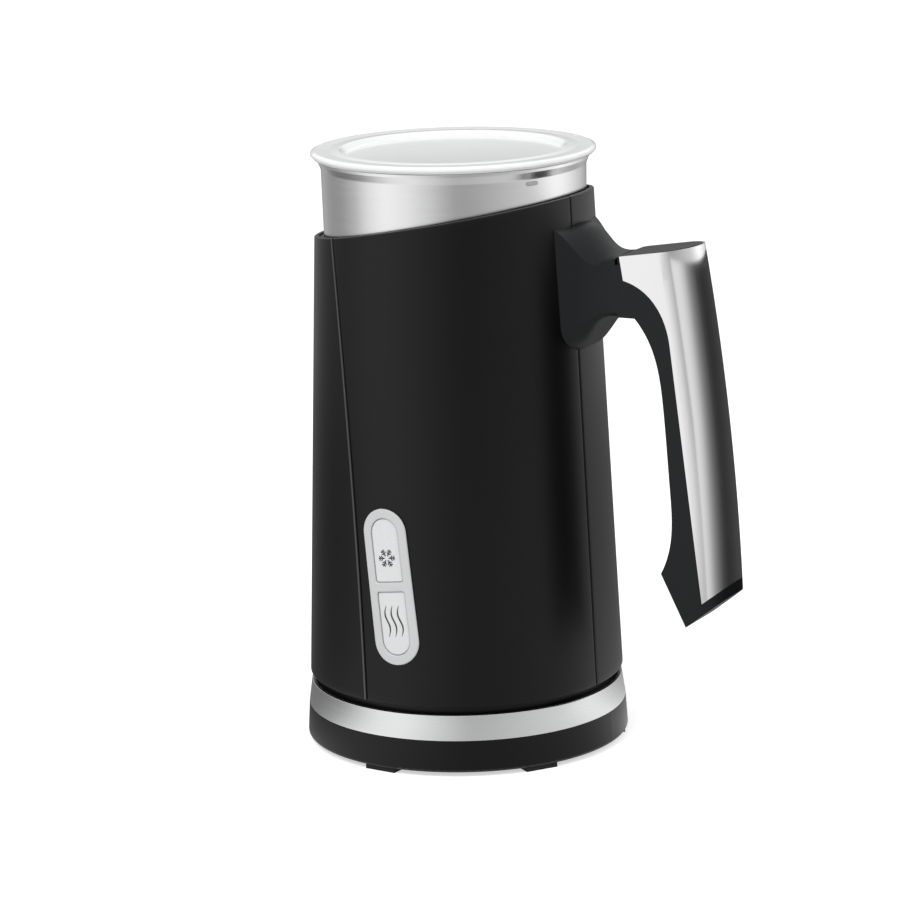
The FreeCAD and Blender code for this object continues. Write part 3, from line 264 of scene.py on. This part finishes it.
# name, colour, roughness, scale of the streaks and their stretch along x, y and z
drawn = metal("drawn_steel_jug", (0.74, 0.74, 0.745), 0.24, 60, (1, 1, 14))
satin = metal("satin_steel_trim", (0.75, 0.755, 0.76), 0.26, 45, (1, 1, 26))
bright = metal("bright_steel_cover", (0.80, 0.79, 0.80), 0.20, 30, (6, 6, 0.4), 0.05)
zinc = metal("zinc_screw", (0.62, 0.62, 0.60), 0.35, 300, (1, 1, 1))
brassy = metal("brass_contact", (0.78, 0.60, 0.30), 0.30, 300, (1, 1, 1))
castAlloy = metal("cast_aluminium", (0.66, 0.67, 0.68), 0.45, 200, (1, 1, 1))
darkMagnet = metal("nickel_magnet", (0.45, 0.45, 0.46), 0.30, 300, (1, 1, 1))
silverPaint = plastic("silver_key_paint", (0.55, 0.555, 0.56), 0.36, 0.5, 1500, 0.00002)
keyPaint = plastic("silver_key_face", (0.66, 0.665, 0.67), 0.38, 0.5, 1500, 0.00002)
# painted highlight: a grey paler than the shell, for the bright streak a lamp makes along the seam
seamHighlightPaint = plastic("painted_seam_highlight", (0.045, 0.045, 0.047), 0.30, 0.5, 900, 0.00001)
ink = plastic("grey_print", (0.055, 0.058, 0.06), 0.50, 0.3, 1500, 0.00001)
footRubber = plastic("foot_rubber", (0.012, 0.012, 0.012), 0.75, 0.25, 1400, 0.00006)
sealSilicone = plastic("clear_silicone", (0.62, 0.63, 0.63), 0.40, 0.4, 700, 0.00002)
paleNylon = plastic("pale_nylon", (0.60, 0.59, 0.56), 0.42, 0.45, 900, 0.00002)
board = plastic("green_board", (0.012, 0.10, 0.040), 0.38, 0.45, 800, 0.00002)

slotFinish = {"black_plastic": gloss, "black_matte": matte, "satin_steel": satin,
              "polished_steel": bright, "jug_steel": drawn, "zinc_steel": zinc, "brass": brassy,
              "rubber": footRubber, "silicone": sealSilicone, "white_plastic": paleNylon,
              "silver_plastic": silverPaint, "board_green": board, "aluminium": castAlloy,
              "magnet": darkMagnet, "clear_plastic": lidClear}
nodeFinish = {"handle_body": soft, "handle_top_cap": soft, "handle_cover": bright, "base_shell": gloss}
for name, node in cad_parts.items():
    for place in node.material_slots:
        kind = place.material.name.split(".")[0]
        place.material = nodeFinish.get(name, slotFinish.get(kind, matte))
print("finishes on the packed parts")


# shell and front panel, in millimetres, with the slanting rim and the leaning seam
shell = {"bottom": 23.6, "radius": 53.5, "topRadius": 46.4, "top": 192.0, "wall": 1.5,
         "rim": 180.5, "rimSlope": 9.7, "seam": 0.25, "seamBow": 2.335,
         "seamLow": (-10.0, 20.0), "seamHigh": (-27.1, 195.0), "panelEnd": -7.7, "rounding": 0.45,
         "mostDrop": 0.8, "passes": 4, "columns": 220, "panelColumns": 90, "rows": 70}


def shellRadius(height):
    share = (height - shell["bottom"]) / (shell["top"] - shell["bottom"])
    return shell["radius"] + (shell["topRadius"] - shell["radius"]) * share


def rimHeight(angle):
    # the height at which the slanting rim meets the shell in one direction
    height = shell["rim"]
    for _ in range(shell["passes"]):
        reach = shellRadius(height) * math.cos(angle)
        height = shell["rim"] + reach * math.tan(math.radians(shell["rimSlope"]))
    return height


def seamAngle(height, gap=0.0):
    (lowX, lowZ), (highX, highZ) = shell["seamLow"], shell["seamHigh"]
    share = (height - lowZ) / (highZ - lowZ)
    across = lowX + (highX - lowX) * share + 4 * shell["seamBow"] * share * (1 - share) + gap
    return -math.acos(across / shellRadius(height))


def spread(count, length, rounding, bits=4):
    # places along a side, crowded at both ends to carry the rounded edges
    ends = [rounding * (1 - math.cos(math.pi / 2 * k / bits)) for k in range(bits + 1)]
    middle = [rounding + (length - 2 * rounding) * k / count for k in range(1, count)]
    return ends + middle + [length - place for place in reversed(ends)]


def edgeDrop(place, length, rounding):
    near = min(place, length - place)
    if near >= rounding:
        return 0.0
    return rounding - math.sqrt(max(0.0, rounding ** 2 - (rounding - near) ** 2))


def wallPiece(name, startAngle, endAngle, columns, body, finish, *nodes,
              rounding=shell["rounding"], proud=0.0):
    # a curved wall between two edges, from the bottom to the rim, with every edge rounded
    wall = shell["wall"]
    middle = (shell["bottom"] + shell["rim"]) / 2
    width = (endAngle(middle) - startAngle(middle)) * shellRadius(middle)
    tall = shell["rim"] - shell["bottom"]
    across = spread(columns, width, rounding)
    up = spread(shell["rows"], tall, rounding)
    bm = bmesh.new()
    skins = []
    for inner in (False, True):
        skin = []
        for rise in up:
            row = []
            for place in across:
                height = shell["bottom"] + rise
                for _ in range(shell["passes"]):
                    start, end = startAngle(height), endAngle(height)
                    angle = start + (end - start) * place / width
                    top = rimHeight(angle)
                    height = shell["bottom"] + rise * (top - shell["bottom"]) / tall
                    if tall - rise < rounding:
                        height = top - (tall - rise)
                drop = edgeDrop(place, width, rounding) + edgeDrop(rise, tall, rounding)
                depth = wall if inner else min(drop, wall * shell["mostDrop"])
                row.append(bm.verts.new(onCircle(shellRadius(height) - depth + proud, angle, height)))
            skin.append(row)
        skins.append(skin)
    for skin in skins:
        for low, high in zip(skin, skin[1:]):
            for k in range(len(low) - 1):
                bm.faces.new((low[k], low[k + 1], high[k + 1], high[k]))
    outer, inner = skins
    borders = [(outer[0], inner[0]), (outer[-1], inner[-1]),
               ([row[0] for row in outer], [row[0] for row in inner]),
               ([row[-1] for row in outer], [row[-1] for row in inner])]
    for one, two in borders:
        for k in range(len(one) - 1):
            bm.faces.new((one[k], one[k + 1], two[k + 1], two[k]))
    return keepMesh(name, bm, body, "black_plastic", finish, *nodes)


panelEnd = math.radians(shell["panelEnd"])
seamStep = shell["seam"] / shell["radius"]
wallPiece("main_shell_wall", lambda z: panelEnd, lambda z: math.tau + seamAngle(z), shell["columns"],
          "jug_unit", gloss, "main_shell")
panel = wallPiece("front_panel_wall", lambda z: seamAngle(z, shell["seam"]), lambda z: panelEnd - seamStep,
                  shell["panelColumns"], "jug_unit", gloss, "front_panel")

# a paler lip on the shell's side of the seam: its paler grey is a painted highlight, standing in for a
# lamp's bright streak along the seam
lip = {"start": -1.05, "end": -0.3, "rounding": 0.12, "proud": 0.03, "columns": 2}
wallPiece("seam_highlight_strip", lambda z: seamAngle(z, lip["start"]), lambda z: seamAngle(z, lip["end"]),
          lip["columns"], "jug_unit", seamHighlightPaint, rounding=lip["rounding"], proud=lip["proud"])
print("shell and panel made")


# controls on the panel, drawn flat and then bent onto the shell
keys = {"height": 63.4, "tilt": 6.7, "width": 16.0, "length": 52.4, "rise": 1.0, "flange": 0.8,
        "window": 10.2, "windowLength": 46.0, "web": 3.1, "gap": 0.15, "dip": 0.45, "edge": 0.42,
        "neckGap": 0.1, "corner": 0.9, "cornerShrink": 0.5, "seat": 0.05, "neckLow": -2.5,
        "neckHigh": 0.3, "neckEdge": 0.05, "keyLow": -4.9, "keyEdge": 0.4, "sharp": 50,
        "cutLow": -8, "cutHigh": 6, "cutEdge": 0.01}


def onPanel(along, up, out):
    # from places on the leaning control field to the curved shell
    tilt = math.radians(keys["tilt"])
    x = along * math.cos(tilt) - up * math.sin(tilt)
    z = keys["height"] + along * math.sin(tilt) + up * math.cos(tilt)
    return Vector((x, -math.sqrt((shellRadius(z) + out) ** 2 - x * x), z))


def pill(width, length, shrink=0.0, bits=24):
    radius = width / 2 - shrink
    middle = length / 2 - width / 2
    points = []
    for centre, start in ((middle, 0), (-middle, math.pi)):
        for k in range(bits + 1):
            angle = start + math.pi * k / bits
            points.append((radius * math.cos(angle), centre + radius * math.sin(angle)))
    return points


def halfPill(side, shrink, bits=16):
    # one window of the pair: round at its far end, small corners at the web
    radius = keys["window"] / 2 - shrink
    middle = keys["windowLength"] / 2 - keys["window"] / 2
    low = keys["web"] / 2 + shrink
    corner = keys["corner"] - shrink * keys["cornerShrink"]
    arcs = (((0, middle), 0, math.pi, radius),
            ((corner - radius, low + corner), math.pi, math.pi / 2, corner),
            ((radius - corner, low + corner), math.pi * 1.5, math.pi / 2, corner))
    points = []
    for (across, up), start, turn, size in arcs:
        for k in range(bits + 1):
            angle = start + turn * k / bits
            points.append((across + size * math.cos(angle), side * (up + size * math.sin(angle))))
    return points


def area(points):
    return sum(a[0] * b[1] - b[0] * a[1] for a, b in zip(points, points[1:] + points[:1])) / 2


plates = {"bevelSteps": 3, "merge": 0.001, "stepAcross": 1.0, "stepUp": 3.0, "cutClose": 0.0005}


def plate(outline, holes, low, high, edge):
    # a flat plate with softened edges, cut fine enough to be bent onto the shell
    curve = bpy.data.curves.new("plate", "CURVE")
    curve.dimensions = "2D"
    curve.fill_mode = "BOTH"
    curve.extrude = (high - low) / 2 - edge
    curve.bevel_depth = edge
    curve.bevel_resolution = plates["bevelSteps"]
    curve.offset = -edge
    for i, ring in enumerate([outline] + holes):
        if (area(ring) > 0) != (i == 0):
            ring = ring[::-1]
        spline = curve.splines.new("POLY")
        spline.points.add(len(ring) - 1)
        for point, (x, y) in zip(spline.points, ring):
            point.co = (x, y, 0, 1)
        spline.use_cyclic_u = True
    holder = bpy.data.objects.new("plate", curve)
    bpy.context.scene.collection.objects.link(holder)
    bpy.context.view_layer.update()
    mesh = bpy.data.meshes.new_from_object(holder.evaluated_get(bpy.context.evaluated_depsgraph_get()))
    bpy.data.objects.remove(holder)
    bm = bmesh.new()
    bm.from_mesh(mesh)
    bpy.data.meshes.remove(mesh)
    bmesh.ops.remove_doubles(bm, verts=bm.verts, dist=plates["merge"])
    wide = max(abs(v.co.x) for v in bm.verts)
    tall = max(abs(v.co.y) for v in bm.verts)
    for flat, reach, step in ((Vector((1, 0, 0)), wide, plates["stepAcross"]),
                              (Vector((0, 1, 0)), tall, plates["stepUp"])):
        for k in range(-int(reach / step), int(reach / step) + 1):
            bmesh.ops.bisect_plane(bm, geom=bm.verts[:] + bm.edges[:] + bm.faces[:],
                                   plane_co=flat * (k * step), plane_no=flat, dist=plates["cutClose"])
    for vertex in bm.verts:
        vertex.co = onPanel(vertex.co.x, vertex.co.y, vertex.co.z + (low + high) / 2)
    return bm


def joined(parts):
    bm = parts[0]
    for other in parts[1:]:
        mesh = bpy.data.meshes.new("part")
        other.to_mesh(mesh)
        other.free()
        bm.from_mesh(mesh)
        bpy.data.meshes.remove(mesh)
    return bm


windows = [halfPill(1, 0), halfPill(-1, 0)]
neckWidth = keys["width"] - 2 * keys["flange"] - 2 * keys["neckGap"]
neckLength = keys["length"] - 2 * keys["flange"] - 2 * keys["neckGap"]
keepMesh("button_surround", joined([
    plate(pill(keys["width"], keys["length"]), windows, keys["seat"], keys["rise"], keys["edge"]),
    plate(pill(neckWidth, neckLength), windows, keys["neckLow"], keys["neckHigh"], keys["neckEdge"])]),
    "jug_unit", "silver_plastic", silverPaint, "button_bezel", sharp=keys["sharp"])
keyTop = keys["rise"] - keys["dip"]
for name, side, body, node in (("cold_key_face", 1, "cold_key", "button_cold"),
                               ("hot_key_face", -1, "hot_key", "button_hot")):
    keepMesh(name, plate(halfPill(side, keys["gap"]), [], keys["keyLow"], keyTop, keys["keyEdge"]),
             body, "silver_plastic", keyPaint, node, sharp=keys["sharp"])

# the printed signs: a snowflake and three rising waves
icons = {"flakeUp": 9.7, "flakeReach": 3.1, "flakeHole": 0.75, "arms": 6, "stroke": 0.20,
         "barbs": ((0.45, 1.1), (0.72, 0.95)), "barbLean": 50, "barbStroke": 0.85, "waveUp": -11.4,
         "waveGap": 2.35, "waveTall": 10.4, "waveSwing": 0.75, "waveWide": 0.30, "waveCalm": 0.25,
         "waveEnds": (0.03, 0.97), "waveTaper": 0.6, "thick": 0.06, "sunk": 0.02, "edge": 0.005}


def stroke(start, end, width):
    along = (Vector(end) - Vector(start)).normalized()
    side = Vector((-along.y, along.x)) * width
    return [tuple(Vector(start) + side), tuple(Vector(start) - side), tuple(Vector(end) - side),
            tuple(Vector(end) + side)]


def flake():
    strokes = []
    centre = Vector((0, icons["flakeUp"]))
    for arm in range(icons["arms"]):
        angle = math.tau * arm / icons["arms"]
        out = Vector((math.cos(angle), math.sin(angle)))
        strokes.append(stroke(centre + out * icons["flakeHole"], centre + out * icons["flakeReach"],
                              icons["stroke"]))
        for place, length in icons["barbs"]:
            foot = centre + out * icons["flakeReach"] * place
            for lean in (-icons["barbLean"], icons["barbLean"]):
                tip = foot + (Matrix.Rotation(math.radians(lean), 2) @ out) * length
                strokes.append(stroke(foot, tip, icons["stroke"] * icons["barbStroke"]))
    return strokes


def wave(across, bits=24):
    left, right = [], []
    first, last = icons["waveEnds"]
    for k in range(bits + 1):
        share = k / bits
        up = icons["waveUp"] + icons["waveTall"] * (share - 0.5)
        calm = 1 - icons["waveCalm"] * abs(share - 0.5)
        centre = across - icons["waveSwing"] * math.sin(math.tau * (share - 0.5)) * calm
        half = icons["waveWide"] * math.sin(math.pi * min(last, max(first, share))) ** icons["waveTaper"]
        left.append((centre - half, up))
        right.append((centre + half, up))
    return left + right[::-1]


def printed(name, shapes, body):
    low, high = keyTop - icons["sunk"], keyTop + icons["thick"]
    keepMesh(name, joined([plate(shape, [], low, high, icons["edge"]) for shape in shapes]),
             body, "black_matte", ink)


printed("snowflake_print", flake(), "cold_key")
printed("steam_print", [wave(k * icons["waveGap"]) for k in (-1, 0, 1)], "hot_key")

# the opening behind the surround
hole = bpy.data.objects.new("hole", bpy.data.meshes.new("hole"))
cutter = plate(pill(keys["width"] - 2 * keys["flange"], keys["length"] - 2 * keys["flange"]), [],
               keys["cutLow"], keys["cutHigh"], keys["cutEdge"])
for vertex in cutter.verts:
    vertex.co *= mm
cutter.to_mesh(hole.data)
cutter.free()
bpy.context.scene.collection.objects.link(hole)
opening = panel.modifiers.new("opening", "BOOLEAN")
opening.object = hole
opening.solver = "EXACT"
bpy.context.view_layer.update()
opened = bpy.data.meshes.new_from_object(panel.evaluated_get(bpy.context.evaluated_depsgraph_get()))
panel.modifiers.clear()
panel.data = opened
panel.data.set_sharp_from_angle(angle=math.radians(35))
bpy.data.objects.remove(hole)
print("controls made")


# base trim
trim = {"low": 12.2, "high": 20.7, "lowRadius": 54.32, "highRadius": 53.1, "wall": 1.2, "edge": 0.3}
turned("trim_band", [
    (trim["lowRadius"] - trim["wall"], trim["low"], 0),
    (trim["lowRadius"], trim["low"], trim["edge"]),
    (trim["highRadius"], trim["high"], trim["edge"]),
    (trim["highRadius"] - trim["wall"], trim["high"], 0)],
    "base", "satin_steel", satin, "base_trim_ring")


# jug, with its rolled lip
jug = {"floor": 87.5, "wall": 0.6, "low": 42.6, "high": 44.3, "top": 199.5, "corner": 5.0,
       "innerCorner": 4.4, "slack": 0.03, "lip": 0.9, "lipStart": 3.4, "lipRise": 1.1, "mouth": 0.1,
       "mouthDrop": 2.6}
turned("jug_wall", [
    (0, jug["floor"], 0), (jug["low"], jug["floor"], jug["corner"]),
    (jug["high"] - jug["slack"], jug["top"] - jug["lipStart"], 2.0),
    (jug["high"] + jug["lip"], jug["top"] - jug["lipRise"], 0.5),
    (jug["high"] + jug["lip"], jug["top"], 0.25),
    (jug["high"] + jug["mouth"], jug["top"], 0.3),
    (jug["high"] - jug["wall"], jug["top"] - jug["mouthDrop"], 1.2),
    (jug["low"] - jug["wall"], jug["floor"] + jug["wall"], jug["innerCorner"]),
    (0, jug["floor"] + jug["wall"], 0)],
    "jug_unit", "jug_steel", drawn, "steel_jug")

# a small raised mark under the lid
mark = {"bearing": -27.2, "height": 194.6, "long": 4.6, "tall": 1.3, "proud": 0.35, "edge": 0.12,
        "sunk": 0.15, "inset": 0.08, "bits": 10}
bm = bmesh.new()
rings = []
for shrink, out in ((0, -mark["sunk"]), (0, mark["proud"] - mark["edge"]), (mark["edge"], mark["proud"])):
    ring = []
    for up, along in pill(mark["tall"], mark["long"], shrink, mark["bits"]):
        angle = math.radians(mark["bearing"]) + along / jug["high"]
        ring.append(bm.verts.new(onCircle(jug["high"] - mark["inset"] + out, angle, mark["height"] + up)))
    rings.append(ring)
for ring, after in zip(rings, rings[1:]):
    for k in range(len(ring)):
        bm.faces.new((ring[k - 1], ring[k], after[k], after[k - 1]))
bm.faces.new(rings[0][::-1])
bm.faces.new(rings[-1])
keepMesh("fill_mark", bm, "jug_unit", "jug_steel", darkMagnet)

# lid: a flange with a dish in it, and a skirt inside the jug
lid = {"radius": 47.6, "top": 202.2, "flange": 2.4, "dishRadius": 37.3, "dish": 1.7, "thick": 2.0,
       "skirt": 8.0, "skirtWall": 1.8, "seal": 1.1, "chamfer": 1.0, "crown": 0.5, "crownIn": 1.2,
       "ledge": 4.2, "ledgeDrop": 0.15, "rim": 0.6, "slope": 1.2}
under = lid["top"] - lid["flange"]
floor = lid["top"] - lid["dish"]
plug = jug["high"] - jug["wall"] - lid["seal"]
turned("lid_shell", [
    (0, floor - lid["thick"], 0),
    (plug - lid["skirtWall"], floor - lid["thick"], 0.6),
    (plug - lid["skirtWall"], under - lid["skirt"], 0.4),
    (plug, under - lid["skirt"], 0.4),
    (plug, under, 0.3),
    (lid["radius"] - lid["chamfer"], under, 0.5),
    (lid["radius"], under + lid["chamfer"], 0.7),
    (lid["radius"], lid["top"] - lid["crown"], 0.5),
    (lid["radius"] - lid["crownIn"], lid["top"], 0.9),
    (lid["dishRadius"] + lid["ledge"], lid["top"] - lid["ledgeDrop"], 2.0),
    (lid["dishRadius"] + lid["rim"], lid["top"], 0.6),
    (lid["dishRadius"] - lid["slope"], floor, 0.9),
    (0, floor, 0)],
    "lid", "clear_plastic", lidClear, "lid")
print("jug, lid and trim made")


# whisk spring, a closely wound ring
coil = {"ring": 14.38, "height": 91.4, "reach": 1.95, "wire": 0.35, "turns": 84, "bits": 12, "sides": 6}
bm = bmesh.new()
rings = []
count = coil["turns"] * coil["bits"]
for k in range(count):
    along = math.tau * k / count
    wind = math.tau * k / coil["bits"]
    out = Vector((math.cos(along), math.sin(along), 0))
    side = Vector((-math.sin(along), math.cos(along), 0))
    spoke = out * math.cos(wind) + Vector((0, 0, 1)) * math.sin(wind)
    centre = out * coil["ring"] + spoke * coil["reach"] + Vector((0, 0, coil["height"]))
    ring = []
    for j in range(coil["sides"]):
        about = math.tau * j / coil["sides"]
        away = spoke * math.cos(about) + side * math.sin(about)
        ring.append(bm.verts.new(centre + away * coil["wire"]))
    rings.append(ring)
for ring, after in zip(rings, rings[1:] + rings[:1]):
    for j in range(coil["sides"]):
        bm.faces.new((ring[j], ring[(j + 1) % coil["sides"]], after[(j + 1) % coil["sides"]], after[j]))
keepMesh("whisk_spring", bm, "whisk", "jug_steel", drawn, "whisk_coil", sharp=80)


# studio, in metres: what the object mirrors is a tent whose level changes with the azimuth
studio = {"turn": 28.0, "ambient": 0.62, "floorReach": 3.0, "floorColour": 0.80, "floorGlow": 0.56,
          "tentRadius": 0.36, "tentMouth": 0.0565, "tentTall": 0.9, "tentLevel": 1.4, "tentSides": 180,
          "tentRise": 0.0006, "lowFrom": 0.04, "lowTo": 0.08, "highFrom": 0.235, "highTo": 0.30,
          "highLevel": 0.75, "aim": 0.1}
tentLevels = {-90: 0.62, -78: 1.0, -60: 1.27, -40: 1.1, -20: 0.8, 0: 0.42, 15: 0.46, 40: 0.62,
              62: 0.78, 82: 1.2, 92: 1.36, 104: 1.25, 122: 0.9, 140: 0.6, 165: 0.25, 185: 0.25,
              210: 0.5, 232: 0.36, 250: 0.38, 270: 0.62}
lowLevels = {-90: 0.41, -78: 0.72, -60: 1.08, -40: 1.1, -20: 0.85, 0: 0.58, 15: 0.62, 40: 0.74,
             62: 0.85, 82: 1.1, 92: 1.1, 104: 0.85, 122: 0.5, 140: 0.32, 165: 0.15, 185: 0.15,
             210: 0.28, 232: 0.2, 250: 0.22, 270: 0.41}


def seenStraight(finish):
    # 1 where the camera, a mirror or a see-through surface looks, 0 for light on the object
    path = finish.node("ShaderNodeLightPath")
    outputs = path.socket.node.outputs
    rays = ("Is Camera Ray", "Is Glossy Ray", "Is Transmission Ray")
    camera, glossy, through = [Sock(finish, outputs[ray]) for ray in rays]
    return camera + glossy + through


world = bpy.data.worlds.new("studio")
bpy.context.scene.world = world
sky = Finish(world)
skyLevel = seenStraight(sky) * (1 - studio["ambient"]) + studio["ambient"]
sky.output("ShaderNodeOutputWorld", sky.node("ShaderNodeBackground", inputs={
    "Color": grey(1.0), "Strength": skyLevel}))


def stageSheet(name, mesh, finish):
    sheet = bpy.data.objects.new(name, mesh)
    bpy.context.scene.collection.objects.link(sheet)
    mesh.materials.append(finish)
    return sheet


def onlyMirrored(name, mesh, finish):
    # a stage sheet that turns with the studio and shows only in reflections
    sheet = stageSheet(name, mesh, finish)
    sheet.rotation_euler.z = math.radians(studio["turn"])
    for ray in ("camera", "diffuse", "transmission", "volume_scatter", "shadow"):
        setattr(sheet, "visible_" + ray, False)


floorMaterial = bpy.data.materials.new("pale_floor")
ground = Finish(floorMaterial)
paint = ground.node("ShaderNodeBsdfDiffuse", inputs={"Color": grey(studio["floorColour"])})
glow = ground.node("ShaderNodeEmission", inputs={"Color": grey(1.0),
                                                "Strength": seenStraight(ground) * studio["floorGlow"]})
ground.output("ShaderNodeOutputMaterial", ground.node("ShaderNodeAddShader", inputs={
    0: paint, 1: glow}))
reach = studio["floorReach"]
floorMesh = bpy.data.meshes.new("floor")
floorMesh.from_pydata([(-reach, -reach, 0), (reach, -reach, 0), (reach, reach, 0), (-reach, reach, 0)],
                      [], [(0, 1, 2, 3)])
stageSheet("floor", floorMesh, floorMaterial)

tentMaterial = bpy.data.materials.new("studio_tent")
tent = Finish(tentMaterial)
tentBearing = tent.node("ShaderNodeTexGradient", {"gradient_type": "RADIAL"}, {"Vector": placed(tent)})
tentHeight = tent.node("ShaderNodeSeparateXYZ", inputs={0: placed(tent)}, output=2)


def tentRamp(levels):
    stops = [((azimuth + 90) / 360, level / studio["tentLevel"])
             for azimuth, level in sorted(levels.items())]
    return tent.node("ShaderNodeValToRGB", {"stops": stops}, {0: tentBearing})


def tentRise(start, end):
    return tent.node("ShaderNodeMapRange", {"interpolation_type": "SMOOTHSTEP"},
                     {0: tentHeight, 1: studio[start], 2: studio[end]})


walls = between(tent, tentRise("lowFrom", "lowTo"), tentRamp(lowLevels), tentRamp(tentLevels))
tentColour = between(tent, tentRise("highFrom", "highTo"), walls, grey(studio["highLevel"]))
tent.output("ShaderNodeOutputMaterial", tent.node("ShaderNodeEmission", inputs={
    "Color": tentColour, "Strength": studio["tentLevel"]}))
bm = bmesh.new()
sides = studio["tentSides"]
tentRings = []
for radius, rise in ((studio["tentMouth"], studio["tentRise"]), (studio["tentRadius"], studio["tentRise"]),
                     (studio["tentRadius"], studio["tentTall"])):
    tentRings.append([bm.verts.new(onCircle(radius, math.tau * k / sides, rise)) for k in range(sides)])
for ring, after in zip(tentRings, tentRings[1:]):
    for k in range(sides):
        bm.faces.new((ring[k], ring[(k + 1) % sides], after[(k + 1) % sides], after[k]))
tentMesh = bpy.data.meshes.new("tent")
bm.to_mesh(tentMesh)
bm.free()
onlyMirrored("tent", tentMesh, tentMaterial)

# a card curved round the handle's nose, pale in front and dark behind, seen only in reflections
flag = {"bearing": 62.0, "radius": 0.024, "from": -12, "to": 148, "steps": 32, "lean": 150, "middle": 0.138,
        "rows": ((0.030, 0.0930), (0.0596, 0.0917), (0.1153, 0.0877), (0.170, 0.0800)),
        "levels": ((-40, 0.95), (0, 0.90), (10, 0.72), (24, 0.34), (36, 0.17), (50, 0.06), (66, 0.03),
                   (85, 0.04), (112, 0.06), (260, 0.06))}


def flagLevel(bearing, rise):
    # the card turns dark sooner near the floor
    bearing += (flag["middle"] - rise) * flag["lean"]
    for (start, low), (end, high) in zip(flag["levels"], flag["levels"][1:]):
        if bearing <= end:
            return low + (high - low) * max(0.0, bearing - start) / (end - start)
    return flag["levels"][-1][1]


flagMaterial = bpy.data.materials.new("shaded_flag")
shade = Finish(flagMaterial)
shade.output("ShaderNodeOutputMaterial", shade.node("ShaderNodeEmission", inputs={
    "Color": shade.node("ShaderNodeAttribute", {"attribute_name": "shade"}), "Strength": 1.0}))
corners, faces, levels = [], [], []
wide = flag["steps"] + 1
for i, (rise, reach) in enumerate(flag["rows"]):
    for k in range(wide):
        bearing = flag["from"] + (flag["to"] - flag["from"]) * k / flag["steps"]
        nose, side = math.radians(flag["bearing"]), math.radians(bearing)
        corners.append((reach * math.sin(nose) + flag["radius"] * math.sin(side),
                        -reach * math.cos(nose) - flag["radius"] * math.cos(side), rise))
        levels.append(flagLevel(bearing, rise))
        if i and k:
            spot = i * wide + k
            faces.append((spot - wide - 1, spot - wide, spot, spot - 1))
flagMesh = bpy.data.meshes.new("flag")
flagMesh.from_pydata(corners, [], faces)
shades = flagMesh.color_attributes.new("shade", "FLOAT_COLOR", "POINT")
for place, level in zip(shades.data, levels):
    place.color = grey(level)
onlyMirrored("flag", flagMesh, flagMaterial)


def lamp(name, azimuth, elevation, distance, size, watts):
    # a soft square lamp that looks at the middle of the object
    light = bpy.data.lights.new(name, "AREA")
    light.size = size
    light.energy = watts
    holder = bpy.data.objects.new(name, light)
    bpy.context.scene.collection.objects.link(holder)
    bearing = math.radians(azimuth + studio["turn"])
    rise = math.radians(elevation)
    flat = distance * math.cos(rise)
    spot = Vector((flat * math.sin(bearing), -flat * math.cos(bearing),
                   distance * math.sin(rise) + studio["aim"]))
    holder.location = spot
    holder.rotation_euler = (Vector((0, 0, studio["aim"])) - spot).to_track_quat("-Z", "Y").to_euler()
    holder.visible_glossy = False


# azimuth and elevation in degrees, distance and size in metres, watts
lamps = {"key_lamp": (-40, 50, 1.4, 0.9, 9.0), "fill_lamp": (60, 35, 1.5, 1.0, 5.0)}
for name, settings in lamps.items():
    lamp(name, *settings)

view = {"back": 1.2294, "height": 0.38037, "yaw": 0.176, "pitch": 12.911, "roll": -1.57, "lens": 148.88,
        "sensor": 36.0, "clipEnd": 20.0}
camera = bpy.data.objects.new("camera", bpy.data.cameras.new("camera"))
bpy.context.scene.collection.objects.link(camera)
turn = Matrix.Rotation(math.radians(studio["turn"]), 4, "Z")
aim = (Matrix.Rotation(math.radians(studio["turn"] + view["yaw"]), 4, "Z")
       @ Matrix.Rotation(math.radians(90 - view["pitch"]), 4, "X")
       @ Matrix.Rotation(math.radians(view["roll"]), 4, "Z"))
camera.matrix_world = Matrix.Translation(turn @ Vector((0, -view["back"], view["height"]))) @ aim
camera.data.lens = view["lens"]
camera.data.sensor_width = view["sensor"]
camera.data.clip_end = view["clipEnd"]
bpy.context.scene.camera = camera
bpy.context.scene.view_settings.view_transform = "Standard"
print("studio made")
